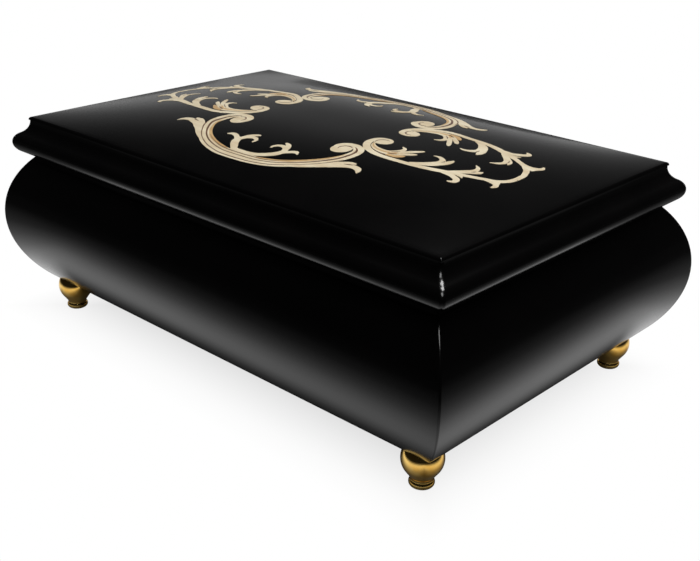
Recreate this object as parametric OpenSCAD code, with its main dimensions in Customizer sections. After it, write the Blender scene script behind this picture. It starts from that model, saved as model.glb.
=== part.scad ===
// Lacquered music box: a swelling case on ball feet, a cushion lid with a scroll inlay,
// a lined jewellery compartment and a wind-up comb movement in a glazed well.

/* [Lid] */
// Length over the nose of the lid
lid_l = 200; // [190:1:225]
// Width over the nose of the lid
lid_w = 128; // [122:1:150]
// Height of the moulded lid frame
lid_frame_h = 12; // [11:0.1:14]
// Width of the lid frame, nose to inner edge
lid_frame_w = 22; // [20:0.5:26]
// Radius of the rounded nose
nose_r = 3.8; // [3.2:0.1:4.4]
// Setback of the lid's top edge from the nose
lid_setback = 5.1; // [4.6:0.1:6]
// Thickness of the lid panel at its edge
panel_edge = 1.1; // [0.8:0.1:2]
// Rise of the cushion dome above the panel edge
dome_h = 6.5; // [3:0.1:8]
// Fullness of the dome: 2 is a plain curve, more is flatter on top
dome_full = 2.5; // [2:0.1:4]
// Thickness of the lid's lining board
lid_board_t = 2; // [1.5:0.1:3]
// Thickness of the mirror
mirror_t = 2; // [1.5:0.1:3]
// Width of lining that shows round the mirror
mirror_border = 7; // [4:0.5:14]
// Thickness of the inlay over the panel
inlay_t = 0.25; // [0.15:0.05:0.4]

/* [Case] */
// Height of the case mouldings
case_h = 48; // [46:0.5:54]
// Radius of the swelling outer face
belly_r = 32; // [30:0.5:40]
// Reach of the belly beyond the lid's nose
belly_out = 3.8; // [2:0.1:5]
// Thickness of the walls at the rim
wall_top = 6.5; // [6:0.1:9]
// Thickness of the bottom panel
bottom_t = 4; // [3:0.1:6]
// Depth of the rabbet for the bottom panel
rabbet = 3; // [2:0.1:4]
// Gap between rim and closed lid
lid_gap = 0.4; // [0.3:0.05:1]

/* [Feet] */
// Height of the feet
foot_h = 13; // [12:0.5:16]
// Radius of the ball
foot_ball_r = 6.4; // [5.5:0.1:7.5]
// Depth of the ball's middle under the case
foot_ball_drop = 3.8; // [2.5:0.1:4.5]
// Radius of the ring on the table
foot_base_r = 3.85; // [3.5:0.05:5]
// Radius of the bead round the ring
foot_bead = 1.3; // [1:0.05:1.5]
// Radius of the neck between ring and ball
foot_neck_r = 3.4; // [2.6:0.1:3.8]
// Radius of the stud that holds the foot
foot_stud_r = 1.5; // [1:0.1:2]
// Distance of the foot axis from the lid's nose at the ends
foot_inset_l = 13.8; // [12.8:0.1:16]
// Distance of the foot axis from the lid's nose at front and back
foot_inset_w = 12.8; // [12.8:0.1:16]

/* [Hinges] */
// Distance of each hinge from the middle
hinge_x = 55; // [40:1:62]
// Length of a hinge
hinge_len = 24; // [18:0.5:30]
// Thickness of a leaf
leaf_t = 0.8; // [0.6:0.1:1]
// Radius of the knuckle
knuckle_r = 1.5; // [1.3:0.1:1.7]
// Radius of the hinge pin
hinge_pin_r = 0.75; // [0.6:0.05:0.9]
// Distance of the hinge axis from the outer edge of the rim
hinge_out = 2.8; // [2.7:0.1:3.4]

/* [Interior] */
// Clear length of the movement well, from the left wall to the partition
well_l = 62.2; // [62:0.1:70]
// Thickness of the partition
partition_t = 4; // [3:0.1:6]
// Height of the partition over the bottom panel
partition_h = 41; // [38:0.5:44]
// Height of the window over the bottom panel
window_h = 34; // [32:0.5:37]
// Thickness of the window
window_t = 2; // [1.5:0.1:3]
// Width and height of the ledges under the window
ledge = 4; // [3:0.1:5]
// Thickness of the velvet lining
lining_t = 1.2; // [0.8:0.1:2]
// Number of ring rolls
roll_count = 4; // [3:1:5]
// Diameter of a ring roll
roll_d = 11.5; // [9:0.1:13]
// Thickness of the divider by the rolls
divider_t = 2; // [1.5:0.1:3]
// How far the top of the divider lies below the top of the lining
divider_drop = 18; // [12:0.5:24]
// Height of the rolls' bed over the lining
roll_bed = 6; // [5:0.1:7]

/* [Movement] */
// Thickness of the bedplate
bed_t = 3; // [2.5:0.1:4]
// Number of teeth on the comb
note_count = 22; // [18:1:24]
// Spacing of the comb teeth
note_pitch = 0.95; // [0.85:0.01:1]
// Radius of the pinned cylinder
cyl_r = 6.5; // [5.5:0.1:6.6]
// How far the pins stand out
pin_out = 0.75; // [0.5:0.05:0.9]
// Height of the spring barrel
barrel_h = 11.4; // [10:0.1:12.5]
// Radius of the winding arbor
arbor_r = 2; // [1.6:0.1:2.4]
// Radius of the small arbors
shaft_r = 0.8; // [0.6:0.05:1]
// Radius of the air-brake fan
fan_r = 4; // [3.2:0.1:4.4]
// Span of the winding key
key_span = 26; // [20:1:32]
// Height of the key's hub
key_hub_h = 7; // [6.6:0.1:7.4]
// Thickness of the key's wings
key_wing_t = 1.6; // [1.2:0.1:2]
// Radius of the key's lobes
key_lobe = 3.6; // [3:0.1:4.2]
// Rise of the stop plunger
plunger_travel = 1.8; // [1:0.1:2]
// Radius of the stop plunger
plunger_r = 1.2; // [1:0.05:1.4]

/* [Fits] */
// Radial clearance of turning fits
run = 0.05; // [0.03:0.01:0.08]
// Radial clearance of fixed fits
fix = 0.03; // [0.02:0.01:0.05]
// Clearance between flat pieces that are fitted together
fit = 0.1; // [0.05:0.01:0.2]

/* [Hidden] */
$fn = 96;
eps = 0.01;
// Heights over the table
z_case = foot_h;
z_floor = z_case + bottom_t;
z_rim = z_case + case_h;
z_lid = z_rim + lid_gap;
z_panel = z_lid + lid_frame_h;
z_top = z_panel + panel_edge;
z_belly = z_case + case_h / 2;
z_hinge = z_rim + lid_gap / 2;
// Insets from the lid's nose
rim_inset = belly_r - sqrt(belly_r * belly_r - case_h * case_h / 4) - belly_out;
wall_inset = rim_inset + wall_top;
half_l = lid_l / 2;
half_w = lid_w / 2;
in_x = half_l - wall_inset;
partition_x = well_l + partition_t / 2 - in_x;
in_y = half_w - wall_inset;
frame_in_x = half_l - lid_frame_w;
frame_in_y = half_w - lid_frame_w;
top_x = half_l - lid_setback;
top_y = half_w - lid_setback;
y_hinge = half_w - rim_inset + hinge_out;
y_rim = half_w - rim_inset;
// Cove of the lid edge, tangent to the nose and upright at its top
nose_k = lid_setback - nose_r;
nose_h = lid_frame_h - nose_r;
cove_r = (nose_k * nose_k + nose_h * nose_h - nose_r * nose_r) / (2 * lid_setback);
// Hinge leaf
leaf_y0 = y_rim - wall_top + 0.5;
leaf_y1 = y_hinge - knuckle_r - 0.2;
knuckle_l = (hinge_len - 0.4) / 3;
screw_r = 0.8;
screw_head_r = 1.5;
screw_l = 5;
screw_dx = hinge_len / 2 - 4.5;
screw_y = (leaf_y0 + y_rim) / 2;

// Gear train of the movement, in a frame of its own: u along the cylinder, v towards the comb
crown_teeth = 40;
pinion_teeth = 10;
crown_mod = 0.6;
crown_face = 1.6;
crown_add = 0.4;
crown_ded = 0.6;
crown_pr = crown_teeth * crown_mod / 2;
pinion_pr = pinion_teeth * crown_mod / 2;
wheel_mod = 0.45;
cyl_wheel_teeth = 30;
gov_pinion_teeth = 10;
gov_v = -(cyl_wheel_teeth + gov_pinion_teeth) * wheel_mod / 2 - 0.05;
worm_mod = 0.5;
gov_wheel_teeth = 20;
worm_r = 1.5;
worm_e = 0.5;
worm_pitch = PI * worm_mod;
worm_len = 4.5 * worm_pitch;
worm_v = gov_v - gov_wheel_teeth * worm_mod / 2 - worm_r - 0.05;
barrel_wall = 0.8;
barrel_seat = 0.6;
cap_t = 1;
barrel_r = crown_pr + crown_face / 2 + 1.2;
axis_h = barrel_seat + barrel_h + cap_t + crown_ded + pinion_pr;
post_t = 2;
post_v = 3.5;
wheel_t = 1.4;
cyl_shaft_r = 1.2;
cyl_len = note_count * note_pitch + 0.6;
u_post1 = barrel_r + 1.2;
u_cyl = u_post1 + post_t + 0.8;
u_wheel = u_cyl + cyl_len + 0.5;
u_post2 = u_wheel + wheel_t + 0.8;
cheek_t = 1.2;
cheek_gap = 2 * fan_r + 0.8;
u_cheek1 = u_wheel + wheel_t + 1.2;
u_worm = u_cheek1 + cheek_t + cheek_gap / 2;
u_cheek2 = u_cheek1 + cheek_t + cheek_gap;
bracket_h = axis_h + gov_wheel_teeth * worm_mod / 2 + 0.4;
bracket_base = 1.5;
bracket_lip = 3;
bracket_bar = 1.4;
bracket_bar_w = 5;
lever_ear = 2.2;
key_gap = 0.4;
key_drop = key_gap + key_hub_h;
lever_v = worm_v - fan_r - 4.9;
lever_h = axis_h + 2;
u_arm = u_cheek2 + cheek_t + 0.6;
arm_w = 1.5;
arm_half = shaft_r - 0.15;
arm_reach = 8.5;
u_plunger = u_arm + arm_w / 2;
plunger_v = lever_v - arm_reach + 1.2;
comb_v = cyl_r + pin_out + 0.2;
// The comb fills what the well leaves between the cylinder and the left wall
plunger_room = 3;
bed_room = 1.45;
comb_rim = 1.5;
comb_depth = well_l + plunger_v - plunger_room - bed_room - comb_rim - comb_v;
comb_long = comb_depth * 10 / 17;
comb_short = comb_long * 0.55;
comb_base_w = comb_depth - comb_long;
comb_t = 1.2;
comb_back = comb_v + comb_depth;
comb_u0 = u_cyl + 0.3;
comb_u1 = u_cyl + cyl_len - 0.3;
bed_u0 = -barrel_r - 1.5;
bed_u1 = u_cheek2 + cheek_t + 0.4;
bed_v0 = lever_v + 1.2;
bed_v1 = comb_back + comb_rim;
bed_screws = [[bed_u0 + 4, bed_v0 + 4], [bed_u0 + 4, bed_v1 - 4], [bed_u1 - 4, bed_v1 - 4]];
comb_screws_u = [comb_u0 + 4, comb_u1 - 4];
bracket_screws_u = [u_cheek1 + cheek_t + 2.2, u_cheek2 - 2.2];
bracket_screw_v = gov_v + 1;
// Place of the movement in the case: its barrel axis, and the top of its bedplate
move_x = partition_x - partition_t / 2 + plunger_v - plunger_room;
move_y = in_y - u_plunger - 4;
z_bed = z_floor + bed_t;
plunger_x = move_x - plunger_v;
plunger_y = move_y + u_plunger;
z_window = z_floor + window_h;
plunger_z0 = z_bed + lever_h + arm_half + 0.2;
plunger_z1 = z_lid - 0.3;
guide_r = plunger_r + 1;
// Lined compartment
comp_x0 = partition_x + partition_t / 2;
rolls_w = roll_count * roll_d;
divider_x = in_x - lining_t - rolls_w - divider_t;
z_lining = z_floor + lining_t;

// Helpers: curves, gears and placing

// Height of the domed top over the table at x, y
function dome_z(x, y) = z_top
  + dome_h * (1 - pow(min(1, abs(x) / top_x), dome_full)) * (1 - pow(min(1, abs(y) / top_y), dome_full));

// Angle in degrees from the start of an involute to radius r
function involute(rb, r) = let(t = sqrt(max(0, r * r / (rb * rb) - 1))) t * 180 / PI - atan(t);

// Outline of a spur gear: teeth, module, pressure angle, addendum, dedendum, tooth width, first tooth
function gear_points(n, m, pa, add, ded, tw, first = 0) =
  let(rp = n * m / 2, rb = rp * cos(pa), ra = rp + add, rr = rp - ded, r0 = max(rb, rr),
      half = tw / 2 / rp * 180 / PI + involute(rb, rp), steps = 4)
  [for (i = [0:n - 1]) let(a = first + i * 360 / n) each concat(
    [rr * [cos(a - half), sin(a - half)]],
    [for (s = [0:steps]) let(r = r0 + (ra - r0) * s / steps, h = half - involute(rb, r))
      r * [cos(a - h), sin(a - h)]],
    [for (s = [steps:-1:0]) let(r = r0 + (ra - r0) * s / steps, h = half - involute(rb, r))
      r * [cos(a + h), sin(a + h)]],
    [rr * [cos(a + half), sin(a + half)]])];

// Smooth curve through points of any length, n steps to each stretch
function curve_at(a, b, c, d, t) =
  0.5 * (2 * b + (c - a) * t + (2 * a - 5 * b + 4 * c - d) * t * t + (3 * b - a - 3 * c + d) * t * t * t);
function curve(p, n) = concat(
  [for (i = [0:len(p) - 2]) for (k = [0:n - 1])
    curve_at(p[max(0, i - 1)], p[i], p[i + 1], p[min(len(p) - 1, i + 2)], k / n)],
  [p[len(p) - 1]]);

// Frame of the movement in the case
module in_movement() {
  translate([move_x, move_y, z_bed]) rotate([0, 0, 90]) children();
}

// Turns a flat shape in v and z into a plate along u
module along_u(u, len) {
  translate([u, 0, 0]) rotate([90, 0, 90]) linear_extrude(len) children();
}

// Round bar along u at v and z
module bar_u(u, len, v, z, r) {
  translate([u, v, z]) rotate([0, 90, 0]) cylinder(r = r, h = len);
}

// Keeps what lies in the mitred quarter of a side, given half sizes
module mitre_long(a, b) {
  e = 20;
  intersection() {
    children();
    translate([0, 0, -50]) linear_extrude(200)
      polygon([[-a - e, -b - e], [a + e, -b - e], [a - b, 0], [b - a, 0]]);
  }
}
module mitre_short(a, b) {
  e = 20;
  intersection() {
    children();
    translate([0, 0, -50]) linear_extrude(200)
      polygon([[a + e, -b - e], [a + e, b + e], [a - b, 0]]);
  }
}

// Case

// Section of a case wall: inset from the nose, height
module wall_section() {
  difference() {
    intersection() {
      translate([belly_r - belly_out, z_belly]) circle(r = belly_r);
      translate([-belly_out - 1, z_case]) square([wall_inset + belly_out + 1, case_h]);
    }
    translate([wall_inset - rabbet, z_case - 1]) square([rabbet + 1, bottom_t + 1]);
  }
}
module front_bar() {
  translate([-half_l - 10, -half_w, 0]) rotate([90, 0, 90]) linear_extrude(lid_l + 20) wall_section();
}
module side_bar() {
  translate([half_l, half_w + 10, 0]) rotate([90, 0, 0]) linear_extrude(lid_w + 20)
    mirror([1, 0]) wall_section();
}
module each_hinge() {
  for (s = [-1, 1]) translate([s * hinge_x, 0, 0]) children();
}
module each_hinge_screw() {
  each_hinge() for (s = [-1, 1]) translate([s * screw_dx, screw_y, 0]) children();
}
module front_moulding() {
  color("#17161a") mitre_long(half_l, half_w) front_bar();
}
module back_moulding() {
  color("#17161a") difference() {
    mirror([0, 1, 0]) mitre_long(half_l, half_w) front_bar();
    each_hinge() translate([-hinge_len / 2 - fit / 2, leaf_y0 - fit / 2, z_rim - leaf_t])
      cube([hinge_len + fit, 30, leaf_t + 1]);
    each_hinge_screw() translate([0, 0, z_rim - screw_l - 0.2]) cylinder(r = screw_r + fix, h = screw_l);
  }
}
module right_moulding() {
  color("#17161a") mitre_short(half_l, half_w) side_bar();
}
module left_moulding() {
  color("#17161a") mirror([1, 0, 0]) mitre_short(half_l, half_w) side_bar();
}
module each_foot_place() {
  for (x = [-1, 1], y = [-1, 1])
    translate([x * (half_l - foot_inset_l), y * (half_w - foot_inset_w), 0]) children();
}
module bottom_panel() {
  px = half_l - wall_inset + rabbet - fit;
  py = half_w - wall_inset + rabbet - fit;
  color("#2a241f") difference() {
    translate([-px, -py, z_case]) cube([2 * px, 2 * py, bottom_t]);
    each_foot_place() translate([0, 0, z_case - 1]) cylinder(r = foot_stud_r + fix, h = bottom_t + 2);
    in_movement() {
      translate([0, 0, -bed_t - bottom_t - 1]) cylinder(r = arbor_r + 1.5, h = bottom_t + 2);
      for (p = bed_screws) translate([p[0], p[1], -bed_t - bottom_t - 1])
        cylinder(r = 1.5 + fix, h = bottom_t + 2);
    }
  }
}

// Ball foot, turned in one piece with its stud: bead, neck, cone up to the ball, ball
module foot() {
  ball_z = foot_h - foot_ball_drop;
  bead_x = foot_base_r - foot_bead;
  neck_z = 2 * foot_bead + 0.2;
  reach = sqrt(pow(foot_neck_r, 2) + pow(ball_z - neck_z, 2));
  lean = atan2(foot_neck_r, ball_z - neck_z) + acos(min(1, foot_ball_r / reach));
  color("#c9a24a") rotate_extrude() difference() {
    union() {
      translate([0, ball_z]) circle(r = foot_ball_r);
      square([foot_neck_r, ball_z]);
      translate([bead_x, foot_bead]) circle(r = foot_bead);
      square([bead_x, 2 * foot_bead]);
      polygon([
        [0, neck_z], [foot_neck_r, neck_z],
        [foot_ball_r * sin(lean), ball_z - foot_ball_r * cos(lean)], [0, ball_z]
      ]);
      translate([0, ball_z]) square([foot_stud_r, foot_h - ball_z + bottom_t - 0.4]);
    }
    translate([-20, -20]) square([20, 60]);
    translate([foot_stud_r, foot_h]) square([20, 20]);
  }
}
module foot_at(x, y) {
  translate([x * (half_l - foot_inset_l), y * (half_w - foot_inset_w), 0]) foot();
}
module foot_front_left() { foot_at(-1, -1); }
module foot_front_right() { foot_at(1, -1); }
module foot_back_left() { foot_at(-1, 1); }
module foot_back_right() { foot_at(1, 1); }

// Hinges

// Knuckle along the hinge axis, from x for a length
module knuckle(x, len) {
  translate([x, y_hinge, z_hinge]) rotate([0, 90, 0]) cylinder(r = knuckle_r, h = len);
}
module hinge_bore(r) {
  translate([-hinge_len / 2 - 1, y_hinge, z_hinge]) rotate([0, 90, 0]) cylinder(r = r, h = hinge_len + 2);
}
// One leaf on the side given by s: -1 lies in the rim, 1 in the lid
module leaf(s) {
  z0 = s < 0 ? z_rim - leaf_t : z_lid;
  starts = s < 0 ? [-hinge_len / 2, hinge_len / 2 - knuckle_l] : [-knuckle_l / 2];
  difference() {
    union() {
      translate([-hinge_len / 2, leaf_y0, z0]) cube([hinge_len, leaf_y1 - leaf_y0, leaf_t]);
      for (x = starts) {
        knuckle(x, knuckle_l);
        translate([x, leaf_y1 - 0.5, z0])
          cube([knuckle_l, y_hinge - hinge_pin_r - 0.2 - leaf_y1 + 0.5, leaf_t]);
      }
    }
    hinge_bore(hinge_pin_r + run);
    for (k = [-1, 1]) translate([k * screw_dx, screw_y, 0]) {
      translate([0, 0, z0 - 1]) cylinder(r = screw_r + fix, h = leaf_t + 2);
      translate([0, 0, s < 0 ? z_rim : z_lid]) screw_head(-s, fix);
    }
  }
}
// Countersunk head: flat end at z = 0, going down for s = 1 and up for s = -1
module screw_head(s, c) {
  if (s > 0) translate([0, 0, -leaf_t])
    cylinder(r1 = screw_r + c, r2 = screw_head_r + c, h = leaf_t + (c > 0 ? eps : 0));
  else translate([0, 0, c > 0 ? -eps : 0]) cylinder(r1 = screw_head_r + c, r2 = screw_r + c, h = leaf_t);
}
module hinge_case_leaves() { color("#c9a24a") each_hinge() leaf(-1); }
module hinge_lid_leaves() { color("#c9a24a") each_hinge() leaf(1); }
module hinge_pins() {
  color("#b98f3c") each_hinge() translate([-hinge_len / 2 + 0.1, y_hinge, z_hinge]) rotate([0, 90, 0])
    cylinder(r = hinge_pin_r, h = hinge_len - 0.2);
}
module hinge_case_screws() {
  color("#c9a24a") each_hinge_screw() translate([0, 0, z_rim]) difference() {
    union() {
      screw_head(1, 0);
      translate([0, 0, -screw_l]) cylinder(r = screw_r, h = screw_l - leaf_t + eps);
    }
    translate([-2, -0.2, -0.3]) cube([4, 0.4, 1]);
  }
}
module hinge_lid_screws() {
  color("#c9a24a") each_hinge_screw() translate([0, 0, z_lid]) difference() {
    union() {
      screw_head(-1, 0);
      translate([0, 0, leaf_t - eps]) cylinder(r = screw_r, h = screw_l - leaf_t);
    }
    translate([-2, -0.2, -0.7]) cube([4, 0.4, 1]);
  }
}

// Interior

module partition() {
  color("#241d1a") translate([partition_x - partition_t / 2, -in_y, z_floor])
    cube([partition_t, 2 * in_y, partition_h]);
}
module window_ledges() {
  well_l = partition_x - partition_t / 2 + in_x;
  color("#241d1a") {
    translate([-in_x, -in_y, z_window - ledge]) cube([well_l, ledge, ledge]);
    translate([-in_x, in_y - ledge, z_window - ledge]) cube([plunger_x - guide_r - 3 + in_x, ledge, ledge]);
  }
}
module movement_window() {
  well_l = partition_x - partition_t / 2 + in_x;
  color("#dfeaea") difference() {
    translate([fit - in_x, fit - in_y, z_window]) cube([well_l - 2 * fit, 2 * in_y - 2 * fit, window_t]);
    translate([plunger_x, plunger_y, z_window - 1]) cylinder(r = guide_r + fix, h = window_t + 2);
  }
}
module plunger_guide() {
  color("#c9a24a") translate([plunger_x, plunger_y, z_window]) difference() {
    union() {
      translate([0, 0, -3]) cylinder(r = guide_r, h = window_t + 3.2);
      translate([0, 0, window_t]) cylinder(r = guide_r + 0.8, h = 0.8);
    }
    translate([0, 0, -4]) cylinder(r = plunger_r + run, h = window_t + 6);
  }
}
module compartment_lining() {
  len_x = in_x - comp_x0;
  color("#6d1622") translate([comp_x0, -in_y, z_floor]) difference() {
    cube([len_x, 2 * in_y, partition_h]);
    translate([lining_t, lining_t, lining_t])
      cube([len_x - 2 * lining_t, 2 * in_y - 2 * lining_t, partition_h]);
  }
}
module roll_divider() {
  color("#6d1622") translate([divider_x, lining_t - in_y, z_lining])
    cube([divider_t, 2 * (in_y - lining_t), partition_h - lining_t - divider_drop]);
}
// Stuffed rolls, side by side, fuller in the middle and drawn in at the ends
module ring_rolls() {
  pitch = (rolls_w - 0.8) / roll_count;
  r = pitch / 2 + 0.25;
  half = in_y - lining_t - fit;
  mid_z = z_lining + r + roll_bed;
  side = [[0.45, 0], [0.72, 0.7], [0.88, 1.8], [0.955, 3.4], [0.98, 8], [1, 0.8 * half]];
  color("#7a1a28") union() {
    for (i = [0:roll_count - 1])
      translate([divider_x + divider_t + 0.4 + (i + 0.5) * pitch, 0, mid_z]) rotate([90, 0, 0])
        rotate_extrude() polygon(concat([[0, -half]], [for (p = side) [p[0] * r, p[1] - half]],
          [for (k = [len(side) - 1:-1:0]) [side[k][0] * r, half - side[k][1]]], [[0, half]]));
    translate([divider_x + divider_t, -half, z_lining]) cube([rolls_w, 2 * half, mid_z - z_lining - 1]);
  }
}

// Lid

// Section of the lid frame: inset from the nose, height over the lid's underside
module lid_section() {
  cc = [lid_setback - cove_r, lid_frame_h];
  cn = [nose_r, nose_r];
  turn = atan2(cc[1] - cn[1], cc[0] - cn[0]);
  steps = 14;
  polygon(concat(
    [for (i = [0:steps]) let(a = 270 + (turn - 270) * i / steps) cn + nose_r * [cos(a), sin(a)]],
    [for (i = [1:steps]) let(a = turn + 180 + (180 - turn) * i / steps) cc + cove_r * [cos(a), sin(a)]],
    [[lid_frame_w, lid_frame_h], [lid_frame_w, 0]]));
}
module lid_front_bar() {
  translate([-half_l - 10, -half_w, z_lid]) rotate([90, 0, 90]) linear_extrude(lid_l + 20) lid_section();
}
module lid_side_bar() {
  translate([half_l, half_w + 10, z_lid]) rotate([90, 0, 0]) linear_extrude(lid_w + 20)
    mirror([1, 0]) lid_section();
}
module lid_front_moulding() { color("#17161a") mitre_long(half_l, half_w) lid_front_bar(); }
module lid_back_moulding() {
  color("#17161a") difference() {
    mirror([0, 1, 0]) mitre_long(half_l, half_w) lid_front_bar();
    each_hinge() {
      translate([-hinge_len / 2 - fit / 2, leaf_y0 - fit / 2, z_lid - 1])
        cube([hinge_len + fit, leaf_y1 - leaf_y0 + fit, leaf_t + 1]);
      translate([-hinge_len / 2 - fit / 2, y_hinge, z_hinge]) rotate([0, 90, 0])
        cylinder(r = knuckle_r + 0.35, h = hinge_len + fit);
    }
    each_hinge_screw() translate([0, 0, z_lid + 0.2]) cylinder(r = screw_r + fix, h = screw_l);
  }
}
module lid_right_moulding() { color("#17161a") mitre_short(half_l, half_w) lid_side_bar(); }
module lid_left_moulding() { color("#17161a") mirror([1, 0, 0]) mitre_short(half_l, half_w) lid_side_bar(); }

// Domed panel: flat below, cushion above
module lid_panel() {
  nx = 36;
  ny = 24;
  ring = concat([for (i = [0:nx - 1]) [i, 0]], [for (j = [0:ny - 1]) [nx, j]],
    [for (i = [nx:-1:1]) [i, ny]], [for (j = [ny:-1:1]) [0, j]]);
  top = [for (j = [0:ny]) for (i = [0:nx])
    let(x = -top_x * cos(180 * i / nx), y = -top_y * cos(180 * j / ny)) [x, y, dome_z(x, y)]];
  low = [for (p = ring) [-top_x * cos(180 * p[0] / nx), -top_y * cos(180 * p[1] / ny), z_panel]];
  n = len(top);
  m = len(ring);
  at = function (i, j) j * (nx + 1) + i;
  color("#17161a") polyhedron(points = concat(top, low, [[0, 0, z_panel]]), faces = concat(
    [for (j = [0:ny - 1]) for (i = [0:nx - 1]) [at(i, j), at(i, j + 1), at(i + 1, j + 1)]],
    [for (j = [0:ny - 1]) for (i = [0:nx - 1]) [at(i, j), at(i + 1, j + 1), at(i + 1, j)]],
    [for (k = [0:m - 1]) [at(ring[k][0], ring[k][1]), at(ring[(k + 1) % m][0], ring[(k + 1) % m][1]), n + k]],
    [for (k = [0:m - 1]) [at(ring[(k + 1) % m][0], ring[(k + 1) % m][1]), n + (k + 1) % m, n + k]],
    [for (k = [0:m - 1]) [n + k, n + (k + 1) % m, n + m]]));
}

// Flat strip of veneer on the dome along a curve of [x, y, half width]
module strip(p, n) {
  s = curve(p, n);
  m = len(s);
  kx = lid_l / 200;
  ky = lid_w / 128;
  q = [for (i = [0:m - 1])
    let(d = s[min(m - 1, i + 1)] - s[max(0, i - 1)], l = max(0.001, norm([d[0], d[1]])),
        nx = -d[1] / l, ny = d[0] / l)
    each [for (k = [[1, 0], [-1, 0], [-1, 1], [1, 1]])
      let(x = kx * (s[i][0] + k[0] * nx * s[i][2]), y = ky * (s[i][1] + k[0] * ny * s[i][2]))
      [x, y, dome_z(x, y) + 0.03 + k[1] * inlay_t]]];
  polyhedron(points = q, faces = concat(
    [for (i = [0:m - 2]) for (k = [0:3]) [4 * i + k, 4 * i + (k + 1) % 4, 4 * i + 4 + k]],
    [for (i = [0:m - 2]) for (k = [0:3]) [4 * i + (k + 1) % 4, 4 * i + 4 + (k + 1) % 4, 4 * i + 4 + k]],
    [[0, 2, 1], [0, 3, 2]], [[4 * m - 4, 4 * m - 3, 4 * m - 2], [4 * m - 4, 4 * m - 2, 4 * m - 1]]));
}
module four_ways() {
  for (a = [0, 1], b = [0, 1]) mirror([a, 0, 0]) mirror([0, b, 0]) children();
}
// The scroll cartouche: front and back scrolls, side scrolls, and their leaves
function half_front() = [[0, -44.2, 2.5], [9, -43.8, 2.4], [18, -39.5, 2.1], [25, -33.5, 1.9],
  [29.6, -27, 1.7], [30.8, -21.8, 1.5], [29.2, -18, 1.2], [25.8, -16.8, 1.1], [22.6, -18.4, 1],
  [22, -21.6, 0.9], [23.7, -23.2, 1.3]];
function half_side() = [[76.3, 0, 0.8], [74.8, -5, 0.9], [69, -10.4, 1], [60.5, -14.3, 1.1], [51, -16.8, 1.1],
  [41.5, -17.6, 1.1], [32.5, -15.6, 1.2], [27, -12, 1.2], [25.2, -7, 1.1], [27.2, -3.2, 1], [30.4, -3.8, 0.9],
  [31, -6.4, 1.3]];
function flip_x(p) = [for (i = [len(p) - 1:-1:1]) [-p[i][0], p[i][1], p[i][2]]];
function flip_y(p) = [for (i = [len(p) - 1:-1:1]) [p[i][0], -p[i][1], p[i][2]]];
module lid_inlay() {
  color("#e3d6b6") {
    for (b = [0, 1]) mirror([0, b, 0]) strip(concat(flip_x(half_front()), half_front()), 4);
    for (a = [0, 1]) mirror([a, 0, 0]) strip(concat(flip_y(half_side()), half_side()), 4);
    four_ways() {
      strip([[28.4, -34, 0.5], [32, -30.4, 1.4], [36.5, -28.2, 1.5], [40.6, -29.4, 1.1],
        [42.8, -32.6, 0.3]], 3);
      strip([[5, -39.6, 0.4], [10, -36.4, 0.9], [13.2, -32.8, 1], [17.6, -32, 0.3]], 3);
      strip([[33.6, -12.9, 0.5], [37, -11, 1.6], [39.6, -8, 1.6], [42, -5.4, 0.4]], 3);
      strip([[48.5, -14.6, 0.4], [52.4, -12.2, 0.9], [53.2, -8, 1], [50.6, -5.2, 0.4]], 3);
      strip([[58.5, -12.6, 0.4], [62.6, -9.8, 0.9], [64.2, -6, 1], [62.8, -3.2, 0.4]], 3);
      strip([[59.8, -16.4, 0.4], [63.4, -16.6, 0.9], [66.4, -18.6, 0.3]], 3);
      strip([[71.8, -10.6, 0.4], [74, -11.1, 0.8], [75.8, -13.2, 0.3]], 3);
    }
  }
}
module lid_board() {
  color("#6d1622") translate([fit - frame_in_x, fit - frame_in_y, z_panel - lid_board_t])
    cube([2 * (frame_in_x - fit), 2 * (frame_in_y - fit), lid_board_t]);
}
module lid_mirror() {
  mx = frame_in_x - mirror_border;
  my = frame_in_y - mirror_border;
  color("#cfd8dc") translate([-mx, -my, z_panel - lid_board_t - mirror_t]) cube([2 * mx, 2 * my, mirror_t]);
}

// Movement, fixed pieces

module bedplate() {
  color("#a9a9a4") in_movement() difference() {
    union() {
      translate([bed_u0, bed_v0, -bed_t]) cube([bed_u1 - bed_u0, bed_v1 - bed_v0, bed_t]);
      cylinder(r = arbor_r + 3, h = barrel_seat - 0.1);
      translate([comb_u0 - 0.5, comb_back - comb_base_w, -eps])
        cube([comb_u1 - comb_u0 + 1, comb_base_w, axis_h - comb_t / 2 + eps]);
      for (u = [u_post1, u_post2]) translate([u, -post_v, -eps]) cube([post_t, 2 * post_v, axis_h + 3 + eps]);
    }
    translate([0, 0, -bed_t - 1]) cylinder(r = arbor_r + run, h = bed_t + 3);
    bar_u(u_post1 - 1, u_post2 + post_t - u_post1 + 2, 0, axis_h, cyl_shaft_r + run);
    for (p = bed_screws) translate([p[0], p[1], -bed_t - 1]) cylinder(r = 1.5 + fix, h = bed_t);
    for (u = comb_screws_u) translate([u, comb_back - comb_base_w / 2, axis_h - comb_t / 2 - 6])
      cylinder(r = 1 + fix, h = 7);
    for (u = bracket_screws_u) translate([u, bracket_screw_v, -2]) cylinder(r = 0.8 + fix, h = 3);
  }
}
module bedplate_screws() {
  color("#8d8d8a") in_movement() for (p = bed_screws)
    translate([p[0], p[1], -bed_t - bottom_t]) difference() {
    union() {
      translate([0, 0, -1.5]) cylinder(r = 2.8, h = 1.5);
      translate([0, 0, -eps]) cylinder(r = 1.5, h = bottom_t + bed_t - 1.5);
    }
    translate([-3, -0.35, -2]) cube([6, 0.7, 1.2]);
  }
}
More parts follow.
